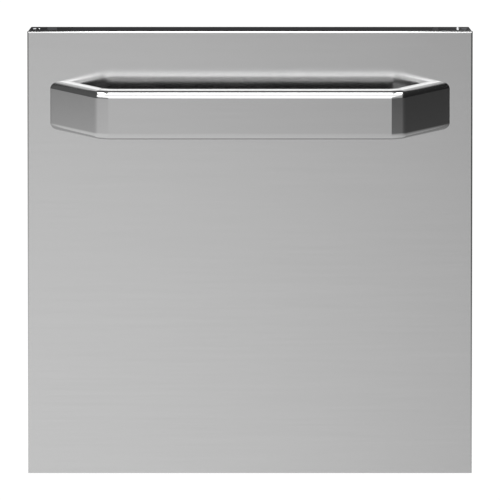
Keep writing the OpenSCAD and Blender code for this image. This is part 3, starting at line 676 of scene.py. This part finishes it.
def lower_rack():
    """Ribs bent to a sloped corner, wires across them, and hoops up to a thicker rim."""
    lo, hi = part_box("lower_rack")
    x = RACK_HALF - WIRE_R
    y0, y1 = lo.y + WIRE_R, hi.y - WIRE_R
    floor, top = RACK_FLOOR, hi.z - WIRE_R
    slope = 22 * MM
    ribs = []
    for i in range(RACK_RIBS):
        at = (i - RACK_RIBS // 2) * RIB_PITCH
        ribs.append([(at, y0, top), (at, y0, floor + slope), (at, y0 + slope, floor),
                     (at, y1 - slope, floor), (at, y1, floor + slope), (at, y1, top)])
    tub_mid = sum(v.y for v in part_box("lower_spray_arm")) / 2
    across_at = (lo.y + 60 * MM, tub_mid - 40 * MM, lo.y + 200 * MM, hi.y - 60 * MM)
    cross = [cradle(-x, x, y, y, top, floor - WIRE_R * 1.5) for y in across_at]
    hoops = [hoop(x, y0, y1, z) for z in (floor + slope + 4 * MM, RACK_WAIST)]
    wires("lower_rack_ribs", ribs, WIRE_R * 0.85, 9 * MM, "lower_rack", "coated_wire", ["lower_rack"])
    wires("lower_rack_cross_wires", cross, WIRE_R, 8 * MM, "lower_rack", "coated_wire")
    wires("lower_rack_hoops", hoops, WIRE_R, 16 * MM, "lower_rack", "coated_wire")
    rim = [hoop(x, y0, y1, top)]
    wires("lower_rack_rim", rim, WIRE_R * 1.25, 16 * MM, "lower_rack", "coated_wire", sides=14)


def tine_rows():
    """Two pivot wires with upright tines, each with a swollen tip."""
    for row in ("tine_row_front", "tine_row_rear"):
        lo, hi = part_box(row)
        y, z = (lo.y + hi.y) / 2, lo.z + 2.1 * MM
        first, last = lo.x + 4 * MM, hi.x - 4 * MM
        step = (last - first) / (TINES + 1)
        places = [first + step * i for i in range(1, TINES + 1)]
        lines = [[(lo.x, y, z), (hi.x, y, z)]] + [[(x, y, z), (x, y, hi.z)] for x in places]
        wires(row + "_tines", lines, 1.7 * MM, 1 * MM, row, "coated_wire", [row])
        tips = bmesh.new()
        bulb = [(0, -3 * MM), (2.2 * MM, -2.6 * MM), (2.3 * MM, -0.8 * MM), (1.6 * MM, 0), (0, 0.2 * MM)]
        turned(tips, bulb, (0, 0, 0), "z", 12)
        points = [(x, y, hi.z - 0.3 * MM) for x in places]
        fitted(row + "_tips", to_mesh(outward(tips), "tip"), points, row, "coated_wire")


def rack_wheels():
    """Rollers with a bevelled tread, a recessed web and six ribs."""
    bore, hub = 3.1 * MM, 6 * MM
    rib_r, rib_circle, ribs = 1.3 * MM, 8.2 * MM, 6
    for wheel in ("wheel_front_left", "wheel_front_right", "wheel_rear_left", "wheel_rear_right"):
        lo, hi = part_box(wheel)
        centre = (lo + hi) / 2
        r, half = (hi.z - lo.z) / 2, (hi.x - lo.x) / 2
        side = [(r, half * 0.5), (r - 0.8 * MM, half * 0.7), (r - 3 * MM, half * 0.72),
                (r - 4.5 * MM, half * 0.4), (hub, half * 0.45), (hub, half), (bore, half)]
        outline = [(radius, -height) for radius, height in reversed(side)] + side + [(bore, -half)]
        bm = bmesh.new()
        turned(bm, outline, centre, "x", 40)
        long = half * 0.62
        for i in range(ribs):
            a = 2 * math.pi * i / ribs
            at = centre + Vector((0, math.cos(a), math.sin(a))) * rib_circle
            turned(bm, [(0, -long), (rib_r, -long), (rib_r, long), (0, long)], at, "x", 10)
        add(wheel + "_roller", to_mesh(outward(bm), wheel), wheel, "white_plastic", [wheel])


def cutlery_tray():
    """A wire tray: two hoops, a floor of thinner wires, two notched dividers and its slide bars."""
    lo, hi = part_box("cutlery_tray")
    x = TRAY_HALF - WIRE_R
    y0, y1 = lo.y + WIRE_R, hi.y - WIRE_R
    floor, top = lo.z + WIRE_R, hi.z - WIRE_R
    hoops = [hoop(x, y0, y1, z) for z in (floor, top)]
    wires("tray_hoops", hoops, WIRE_R, 14 * MM, "cutlery_tray", "coated_wire", ["cutlery_tray"], sides=12)
    first = -212 * MM
    lengths = [cradle(first + TRAY_PITCH * i, first + TRAY_PITCH * i, y0, y1, top, floor)
               for i in range(TRAY_WIRES)]
    pane = (y1 - y0) / TRAY_PANES
    crosses = [cradle(-x, x, y0 + pane * i, y0 + pane * i, top, floor - 1.5 * MM)
               for i in range(1, TRAY_PANES)]
    wires("tray_wires", lengths + crosses, 1.3 * MM, 5 * MM, "cutlery_tray", "coated_wire",
          ["tray_base"], sides=8)
    bm = bmesh.new()
    step = 2 * x / DIVIDER_NOTCHES
    for row in (2, 4):
        y = lo.y + (hi.y - lo.y) * row / TRAY_PANES
        for k in range(DIVIDER_NOTCHES):
            left = -x + step * k
            tall = floor + (18 if k % 2 else 9) * MM
            block(bm, (left, y - 1 * MM, floor - 1 * MM), (left + step, y + 1 * MM, tall))
    bmesh.ops.remove_doubles(bm, verts=bm.verts, dist=1e-6)
    add("tray_dividers", to_mesh(bm, "dividers"), "cutlery_tray", "coated_wire")
    bm = bmesh.new()
    middle = lo.z + 20 * MM
    ends = lo.y + 10 * MM, hi.y - 10 * MM
    for side in (-1, 1):
        for inner, tall in ((236.8 * MM, 3 * MM), (249.4 * MM, 7.2 * MM)):
            side_block(bm, side, (inner, 252.4 * MM), (ends[0], middle - tall), (ends[1], middle + tall))
    add("tray_slide_bars", rounded(bm, "slides", 0.5 * MM, 2), "cutlery_tray", "fastener")


# ---- Tub ----

TUB_SHEET = 1.2 * MM
TUB_FLOOR = 120 * MM


def tub_shell():
    """A drawn box with generous corners, its wall outside the washed space, and openings in its floor."""
    lo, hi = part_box("tub")
    bm = bmesh.new()
    block(bm, (lo.x + TUB_SHEET, lo.y, TUB_FLOOR), (hi.x - TUB_SHEET, hi.y - TUB_SHEET, hi.z - TUB_SHEET))
    front = [f for f in bm.faces if f.normal.y < -0.9]
    bmesh.ops.delete(bm, geom=front, context="FACES_ONLY")
    deep = [e for e in bm.edges if len(e.link_faces) == 2]
    bmesh.ops.bevel(bm, geom=deep, offset=22 * MM, segments=7, profile=0.5, affect="EDGES")
    bmesh.ops.reverse_faces(bm, faces=bm.faces)
    shell = modified(to_mesh(bm, "tub"), ("SOLIDIFY", {"thickness": TUB_SHEET, "offset": -1.0}))
    salt = sum(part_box("salt_cap"), Vector()) / 2
    float_stem = sum(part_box("float"), Vector()) / 2
    sump_y = sum(v.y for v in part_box("lower_spray_arm")) / 2
    pipe_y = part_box("supply_pipe")[1].y - 9.8 * MM
    cutters = bmesh.new()
    for x, y, radius in ((0, sump_y, 68 * MM), (salt.x, salt.y, 26 * MM), (0, pipe_y, 8.4 * MM),
                         (float_stem.x, float_stem.y, 6 * MM)):
        plug = [(0, -6 * MM), (radius, -6 * MM), (radius, 6 * MM), (0, 6 * MM)]
        turned(cutters, plug, (x, y, TUB_FLOOR), "z", 64)
    cutter = bpy.data.objects.new("cutter", to_mesh(outward(cutters), "cutter"))
    bpy.context.scene.collection.objects.link(cutter)
    mesh = modified(shell, ("BOOLEAN", {"object": cutter, "operation": "DIFFERENCE", "solver": "EXACT"}))
    bpy.data.objects.remove(cutter)
    add("tub_shell", mesh, "casing", "tub_steel", ["tub"], angle=35)


def tub_details():
    """The raised wheel tracks, the ribs pressed into the walls and the lip below the opening."""
    lo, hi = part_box("tub")
    bm = bmesh.new()
    for side in (-1, 1):
        side_block(bm, side, (227 * MM, 245 * MM), (lo.y + 4 * MM, TUB_FLOOR - 0.5 * MM),
                   (hi.y - 26 * MM, TUB_FLOOR + 6 * MM))
    add("tub_tracks", rounded(bm, "tracks", 3 * MM, 4), "casing", "tub_steel")
    bm = bmesh.new()
    behind, proud = 0.2 * MM, 1.6 * MM
    side_wall, rear_wall = hi.x - TUB_SHEET, hi.y - TUB_SHEET
    for side in (-1, 1):
        for z in (200 * MM, 245 * MM, 290 * MM, 335 * MM, 375 * MM):
            side_block(bm, side, (side_wall + behind, side_wall - proud), (lo.y + 50 * MM, z - 5 * MM),
                       (hi.y - 60 * MM, z + 5 * MM))
    for z in (210 * MM, 270 * MM, 330 * MM, 390 * MM):
        for side in (-1, 1):
            side_block(bm, side, (45 * MM, 205 * MM), (rear_wall - proud, z - 6 * MM),
                       (rear_wall + behind, z + 6 * MM))
    add("tub_wall_ribs", rounded(bm, "ribs", 1.4 * MM, 3), "casing", "tub_steel")
    bm = bmesh.new()
    block(bm, (lo.x, lo.y, lo.z), (hi.x, lo.y + TUB_SHEET, TUB_FLOOR - 0.2 * MM))
    add("tub_front_lip", rounded(bm, "lip", 0.5 * MM, 2), "casing", "tub_steel")


def door_gasket():
    """A hollow lip seal around three sides of the opening, with its corners bent."""
    lo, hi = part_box("door_seal")
    inset = 5 * MM
    x, top = hi.x - inset, hi.z - inset
    bend = 14 * MM
    y_mid = (lo.y + hi.y) / 2
    deep = hi.y - lo.y
    outline = []
    for i in range(24):
        a = 2 * math.pi * i / 24
        across = 4.9 * MM * math.cos(a)
        forward = deep / 2 * math.sin(a) * (0.75 if math.sin(a) > 0 else 1.0)
        outline.append((across, forward if forward < 0 else forward + deep * 0.1 * math.sin(a)))
    stations = [(Vector((-x, y_mid, lo.z)), Vector((-1, 0, 0)))]
    for cx, start in ((-1, 180), (1, 90)):
        for i in range(9):
            a = math.radians(start - 90 * i / 8)
            centre = Vector((cx * (x - bend), y_mid, top - bend))
            normal = Vector((math.cos(a), 0, math.sin(a)))
            stations.append((centre + normal * bend, normal))
    stations.append((Vector((x, y_mid, lo.z)), Vector((1, 0, 0))))
    bm = bmesh.new()
    skin(bm, [[p + n * across + Vector((0, forward, 0)) for across, forward in outline] for p, n in stations])
    add("door_gasket", to_mesh(outward(bm), "gasket"), "casing", "rubber_black", ["door_seal"], angle=60)


# ---- Washing ----

def spray_arm(node, nozzles_up):
    """A thin hollow blade that swells at its hub, with a row of nozzles on each side."""
    lo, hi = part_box(node)
    centre = (lo + hi) / 2
    r = (hi.x - lo.x) / 2
    if nozzles_up:
        z0, z1 = hi.z - 12.1 * MM, hi.z - 1.1 * MM
    else:
        z0, z1 = lo.z, lo.z + 9 * MM
    mid, half = (z0 + z1) / 2, (z1 - z0) / 2
    bm = bmesh.new()
    loops = []
    steps = 36
    for i in range(steps + 1):
        t = -1 + 2 * i / steps
        wide = (12 + 7 * math.exp(-(t * 3.2) ** 2) + 3 * math.exp(-(t * 8) ** 2)) * MM
        end = max(0.02, 1 - abs(t) ** 24)
        wide *= math.sqrt(end)
        thick = half * (0.72 + 0.28 * math.exp(-(t * 4) ** 2)) * (0.35 + 0.65 * math.sqrt(end))
        section = round_section(2 * wide, 2 * thick, min(wide, thick) * 0.85, 4)
        loops.append([Vector((centre.x + t * r, centre.y + across, mid + up)) for across, up in section])
    skin(bm, loops)
    outline = [(0, z0 - mid + 0.5 * MM), (20 * MM, z0 - mid + 0.5 * MM), (21.5 * MM, 0),
               (19 * MM, half * 0.75), (10 * MM, half), (0, half)]
    turned(bm, outline, (centre.x, centre.y, mid), "z", 48)
    shaft = (lo.z, z0 + 1 * MM) if nozzles_up else (z1 - 1 * MM, hi.z)
    turned(bm, [(0, shaft[0]), (4.9 * MM, shaft[0]), (4.9 * MM, shaft[1]), (0, shaft[1])],
           (centre.x, centre.y, 0), "z", 32)
    add(node + "_blade", to_mesh(outward(bm), node), node, "grey_plastic", [node], angle=50)
    jet = bmesh.new()
    outline = [(0, -1 * MM), (3.2 * MM, -1 * MM), (3 * MM, 0.5 * MM), (2.4 * MM, 0.9 * MM),
               (1.3 * MM, 0.8 * MM), (1.1 * MM, -0.4 * MM), (0, -0.4 * MM)]
    turned(jet, outline, (0, 0, 0), "z", 16)
    if not nozzles_up:
        bmesh.ops.rotate(jet, verts=jet.verts, cent=(0, 0, 0), matrix=Matrix.Rotation(math.pi, 3, "X"))
    surface = mid + half * 0.72 if nozzles_up else mid - half * 0.72
    points = []
    for side in (-1, 1):
        for k in range(1, 6):
            points.append((centre.x + side * r * k / 5.6, centre.y + (5 if k % 2 else -5) * MM * side,
                           surface - (0.1 * MM if nozzles_up else -0.1 * MM)))
    fitted(node + "_jets", to_mesh(outward(jet), "jet"), points, node, "grey_plastic")


def beside_hole(reach, off_middle, middle, hole_r):
    """The stretches between -reach and reach that a round hole leaves, as (from, to).

    off_middle is how far the line passes from the hole's middle, and middle is where along it that is."""
    if abs(off_middle) < hole_r:
        near = math.sqrt(hole_r ** 2 - off_middle ** 2)
        spans = ((-reach, middle - near), (middle + near, reach))
    else:
        spans = ((-reach, reach),)
    return [(start, end) for start, end in spans if end - start > 1 * MM]


def filters():
    """A screen of crossed wires with a hole for the cup, and the rims around both."""
    lo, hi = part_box("fine_filter")
    centre = (lo + hi) / 2
    r = (hi.x - lo.x) / 2
    hole_lo, hole_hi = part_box("filter_cup")
    hole = (hole_lo + hole_hi) / 2
    hole_r = (hole_hi.x - hole_lo.x) / 2 + 0.4 * MM
    z = lo.z + 1 * MM
    above, below = z + 0.3 * MM, z - 0.3 * MM
    lines = []
    pitch = 2.6 * MM
    count = int(r / pitch)
    for i in range(-count, count + 1):
        offset = i * pitch
        reach = math.sqrt(max(0, (r - 3 * MM) ** 2 - offset ** 2))
        for start, end in beside_hole(reach, offset, hole.x, hole_r):
            lines.append([(start, centre.y + offset, above), (end, centre.y + offset, above)])
        for start, end in beside_hole(reach, offset - hole.x, 0, hole_r):
            lines.append([(offset, centre.y + start, below), (offset, centre.y + end, below)])
    wires("filter_screen", lines, 0.42 * MM, 0.0, "casing", "tub_steel", ["fine_filter"], sides=5)
    bm = bmesh.new()
    rim = [(r - 4 * MM, 0), (r, 0), (r, 2 * MM), (r - 4 * MM, 2 * MM), (r - 4 * MM, 0)]
    turned(bm, rim, (centre.x, centre.y, lo.z), "z", 64)
    collar = [(hole_r, 0), (hole_r + 3 * MM, 0), (hole_r + 3 * MM, 2 * MM), (hole_r, 2 * MM), (hole_r, 0)]
    turned(bm, collar, (hole.x, hole.y, lo.z), "z", 48)
    hub = [(5.1 * MM, 0), (10.5 * MM, 0), (11 * MM, 1 * MM), (11 * MM, 11 * MM), (10 * MM, 12 * MM),
           (5.1 * MM, 12 * MM), (5.1 * MM, 0)]
    turned(bm, hub, (centre.x, centre.y, lo.z), "z", 40)
    add("filter_rims", to_mesh(outward(bm), "rims"), "casing", "tub_steel")


# ---- Springs, feet, threads ----

def hinge_coils():
    """The spring coil around each hinge pin."""
    lo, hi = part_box("hinge_springs")
    y, z = (lo.y + hi.y) / 2, (lo.z + hi.z) / 2
    inner, outer, coil_r = 269.9 * MM, 273.3 * MM, 7.6 * MM
    turns, steps = 3, 28
    lines = []
    for side in (-1, 1):
        line = []
        for i in range(turns * steps + 1):
            t = i / (turns * steps)
            a = 2 * math.pi * i / steps
            x = side * (inner + (outer - inner) * t)
            line.append((x, y + coil_r * math.cos(a), z + coil_r * math.sin(a)))
        lines.append(line)
    wires("hinge_coils", lines, 0.55 * MM, 0.0, "casing", "fastener", ["hinge_springs"], sides=8)


def levelling_feet():
    """A turned pad with a hexagon above it, and a threaded stem."""
    ridge = [(4.1 * MM, -0.75 * MM), (4.95 * MM, 0), (4.1 * MM, 0.75 * MM), (3.0 * MM, 0.75 * MM),
             (3.0 * MM, -0.75 * MM), (4.1 * MM, -0.75 * MM)]
    pad = [(0, 0), (17.5 * MM, 0), (19 * MM, 1.2 * MM), (19 * MM, 4.4 * MM), (17.8 * MM, 6 * MM),
           (13 * MM, 6.6 * MM), (12.4 * MM, 9.4 * MM), (10.5 * MM, 10 * MM), (0, 10 * MM)]
    hexagon = [(0, 9.9 * MM), (8.6 * MM, 9.9 * MM), (9.5 * MM, 10.6 * MM), (9.5 * MM, 17.2 * MM),
               (8.6 * MM, 17.9 * MM), (0, 17.9 * MM)]
    stem = [(0, 17.8 * MM), (4.2 * MM, 17.8 * MM), (4.2 * MM, 35.2 * MM), (3.4 * MM, 36 * MM), (0, 36 * MM)]
    thread = bmesh.new()
    turned(thread, ridge, (0, 0, 0), "z", 24)
    ring = to_mesh(outward(thread), "thread_ring")
    for foot in ("foot_front_left", "foot_front_right", "foot_rear_left", "foot_rear_right"):
        lo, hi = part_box(foot)
        x, y = (lo.x + hi.x) / 2, (lo.y + hi.y) / 2
        bm = bmesh.new()
        for outline, steps in ((pad, 48), (hexagon, 6), (stem, 24)):
            turned(bm, outline, (x, y, 0), "z", steps)
        add(foot + "_pad", to_mesh(outward(bm), foot), foot, "black_plastic", [foot])
        points = [(x, y, (18.8 + 1.5 * i) * MM) for i in range(11)]
        fitted(foot + "_thread", ring.copy(), points, foot, "fastener")


def inlet_thread():
    """The thread on the water inlet, as a row of ridges."""
    lo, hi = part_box("inlet_valve")
    x = (lo.x + hi.x) / 2
    z = lo.z + 18 * MM
    ridge = [(12.2 * MM, -0.8 * MM), (13.15 * MM, 0), (12.2 * MM, 0.8 * MM), (11 * MM, 0.8 * MM),
             (11 * MM, -0.8 * MM), (12.2 * MM, -0.8 * MM)]
    rib = bmesh.new()
    turned(rib, ridge, (0, 0, 0), "y", 40)
    points = [(x, hi.y - (1.2 + 1.8 * i) * MM, z) for i in range(5)]
    fitted("inlet_thread", to_mesh(outward(rib), "rib"), points, "casing", "white_plastic")


def casing_screws():
    """The screws that hold the casing's sheets together."""
    lo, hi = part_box("side_panel_right")
    rear_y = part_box("rear_panel")[1].y - 1.2 * MM
    top_lo, top_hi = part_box("top_cover")
    radius, height, flat_height = 3.6 * MM, 1.6 * MM, 1.2 * MM
    for side, facing, name in ((1, "+x", "side_screws_right"), (-1, "-x", "side_screws_left")):
        x = side * (hi.x - 0.1 * MM)
        points = [(x, y, z) for y in (lo.y + 12 * MM, hi.y - 12 * MM)
                  for z in (160 * MM, 320 * MM, 480 * MM)]
        points += [(x, hi.y - 12 * MM, 40 * MM)]
        fitted(name, screw_shape(radius, height, facing), points, "casing", "fastener")
    points = [(x, rear_y, z) for x in (-262 * MM, 262 * MM) for z in (130 * MM, 310 * MM, 490 * MM)]
    points += [(x, rear_y, z) for x in (-90 * MM, 90 * MM) for z in (120 * MM, 498 * MM)]
    fitted("rear_screws", screw_shape(radius, flat_height, "+y"), points, "casing", "fastener")
    points = [(x, y, top_hi.z - 1.2 * MM) for x in (-268 * MM, 268 * MM)
              for y in (top_lo.y + 30 * MM, (top_lo.y + top_hi.y) / 2, top_hi.y - 30 * MM)]
    fitted("top_screws", screw_shape(radius, flat_height, "+z"), points, "casing", "fastener")


# ---- The remaining pieces keep their CAD shape, with rounded edges ----

EDGE_MM = {
    "base_tray": 0.9, "side_panel_left": 0.35, "side_panel_right": 0.35, "rear_panel": 0.35, "top_cover": 0.3,
    "front_frame": 0.35, "latch_strike": 0.4, "tray_rails": 0.4, "sump": 1.2, "filter_cup": 0.5,
    "circulation_pump": 1.0, "drain_pump": 1.2, "flow_heater": 0.8, "water_softener": 3.0, "salt_cap": 0.8,
    "supply_pipe": 0.6, "inlet_valve": 1.0, "drain_spigot": 0.4, "power_inlet": 0.6, "control_box": 1.5,
    "counterweight": 3.0, "hinge_brackets": 0.4, "float": 1.0, "door_insulation": 2.5,
    "door_liner": 0.35, "door_screws": 0.25, "bottom_seal": 0.8, "hinge_arms": 0.5, "control_housing": 0.45,
    "touch_strip": 0.12, "display_window": 0.12, "power_button": 0.6, "start_button": 0.5, "door_latch": 0.5,
    "detergent_dispenser": 0.7, "dispenser_lid": 0.5, "rinse_cap": 0.7, "tray_runners": 0.4,
    "wheel_carriers": 0.6,
}
for node, width in EDGE_MM.items():
    softened(node, width)

door_front()
handle_bar()
lamp_lenses()
lower_rack()
tine_rows()
rack_wheels()
cutlery_tray()
tub_shell()
tub_details()
door_gasket()
spray_arm("lower_spray_arm", True)
spray_arm("upper_spray_arm", False)
filters()
hinge_coils()
levelling_feet()
inlet_thread()
casing_screws()


# ---- Stage ----

VIEW_ELEVATION = math.radians(12.5)
VIEW_WIDTH = 669.3 * MM
LENS = 1600.0
SENSOR = 36.0
FLOOR_LEVEL = 0.95
SKY_LEVEL = 1.7


def camera():
    lo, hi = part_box("door_panel")
    aim = Vector((0, lo.y, (lo.z + hi.z) / 2 + 4 * MM))
    data = bpy.data.cameras.new("camera")
    data.lens = LENS
    data.sensor_width = SENSOR
    distance = VIEW_WIDTH * LENS / SENSOR
    back = Vector((0, -math.cos(VIEW_ELEVATION), math.sin(VIEW_ELEVATION)))
    made = bpy.data.objects.new("camera", data)
    bpy.context.scene.collection.objects.link(made)
    made.location = aim + back * distance
    made.rotation_mode = "QUATERNION"
    made.rotation_quaternion = (-back).to_track_quat("-Z", "Y")
    data.clip_end = distance * 3
    bpy.context.scene.camera = made


def soft_light(name, size, at, aim, strength):
    data = bpy.data.lights.new(name, "AREA")
    data.shape = "RECTANGLE"
    data.size, data.size_y = size
    data.energy = strength
    made = bpy.data.objects.new(name, data)
    bpy.context.scene.collection.objects.link(made)
    made.location = at
    made.rotation_mode = "QUATERNION"
    made.rotation_quaternion = (Vector(aim) - Vector(at)).to_track_quat("-Z", "Y")
    made.visible_camera = False
    return made


def floor():
    """A pale floor that glows: evenly white to the camera, and to every other ray a painted pool of light,
    brightest just left of the middle and falling off to the front and the sides.
    """
    bm = bmesh.new()
    bmesh.ops.create_circle(bm, cap_ends=True, segments=96, radius=7.0)
    mesh = to_mesh(bm, "floor")
    finish = bpy.data.materials.new("pale_floor")
    finish.use_nodes = True
    tree = finish.node_tree
    tree.nodes.clear()
    s = Shade(tree)
    here = s.node("ShaderNodeSeparateXYZ", {}, {0: s.place()})
    x = Shade(tree, here.socket.node.outputs[0])
    y = Shade(tree, here.socket.node.outputs[1])
    # Painted pool of light: the glow that other rays see falls off from a point just left of the middle, as
    # if a lamp lit it.
    aside = x + 0.5
    right = s.math("MAXIMUM", aside, 0.0) / 1.47
    left = s.math("MINIMUM", aside, 0.0) / 2.6
    ahead = s.math("MINIMUM", y + 0.2, 0.0) / 6.8 + s.math("MAXIMUM", y + 0.2, 0.0) / 0.7
    fall = s.math("EXPONENT", (right * right + left * left + ahead * ahead) * -1.0)
    tone = s.noise((1.5, 1.5, 1.5), 2.0) * 0.02 + 0.99
    painted_pool_glow = s.node("ShaderNodeEmission", {}, {"Color": grey(1.0), "Strength": fall * tone * FLOOR_LEVEL})
    matt = s.node("ShaderNodeBsdfDiffuse", {}, {"Color": grey(0.12)})
    painted_glow_and_matt = s.node("ShaderNodeAddShader", {}, {0: painted_pool_glow, 1: matt})
    white = s.node("ShaderNodeEmission", {}, {"Color": grey(1.0), "Strength": 1.05})
    seen = s.node("ShaderNodeLightPath", output="Is Camera Ray")
    mix = s.node("ShaderNodeMixShader", {}, {0: seen, 1: painted_glow_and_matt, 2: white})
    out = tree.nodes.new("ShaderNodeOutputMaterial")
    tree.links.new(mix.socket, out.inputs[0])
    mesh.materials.append(finish)
    made = bpy.data.objects.new("floor", mesh)
    bpy.context.scene.collection.objects.link(made)


def world():
    """White to the camera. To everything else, a studio that is brighter in front and to the left."""
    made = bpy.data.worlds.new("studio")
    made.use_nodes = True
    bpy.context.scene.world = made
    tree = made.node_tree
    tree.nodes.clear()
    s = Shade(tree)
    way = s.node("ShaderNodeTexCoord", output="Generated")
    split = s.node("ShaderNodeSeparateXYZ", {}, {0: way})
    x, y, z = (Shade(tree, split.socket.node.outputs[i]) for i in range(3))
    walls = x.remap(-1.0, 1.0, 0.16, 0.03)
    ahead = y.remap(-0.45, -0.15, 1.0, 0.0)
    aside = s.math("ABSOLUTE", x).remap(0.35, 0.65, 1.0, 0.0)
    level = walls + ahead * aside * z.remap(-0.1, 0.0, 0.3, 1.0) * SKY_LEVEL
    colour = s.node("ShaderNodeCombineColor", {}, {0: level, 1: level, 2: level})
    studio = s.node("ShaderNodeBackground", {}, {"Color": colour, "Strength": 1.0})
    white = s.node("ShaderNodeBackground", {}, {"Color": grey(1.0), "Strength": 1.05})
    seen = s.node("ShaderNodeLightPath", output="Is Camera Ray")
    mix = s.node("ShaderNodeMixShader", {}, {0: seen, 1: studio, 2: white})
    out = tree.nodes.new("ShaderNodeOutputWorld")
    tree.links.new(mix.socket, out.inputs[0])


def lights():
    lo, hi = cad_bounds
    top = hi.z
    for i, x in enumerate((-0.62, 0.0, 0.62)):
        soft_light(f"overhead_{i}", (0.5, 0.8), (x, lo.y - 0.27, top + 1.1), (x, lo.y - 0.27, top), 5)
    soft_light("front_left", (1.6, 1.2), (-1.7, -2.6, 1.9), (0, lo.y, 0.2), 14)
    soft_light("front_above", (2.6, 0.8), (0.2, -3.2, 1.6), (0, lo.y, 0.4), 12)
    soft_light("rear_fill", (2.0, 1.5), (1.2, 2.8, 2.0), (0, 0, 0.3), 12)


camera()
floor()
world()
lights()
bpy.context.scene.view_settings.view_transform = "Standard"
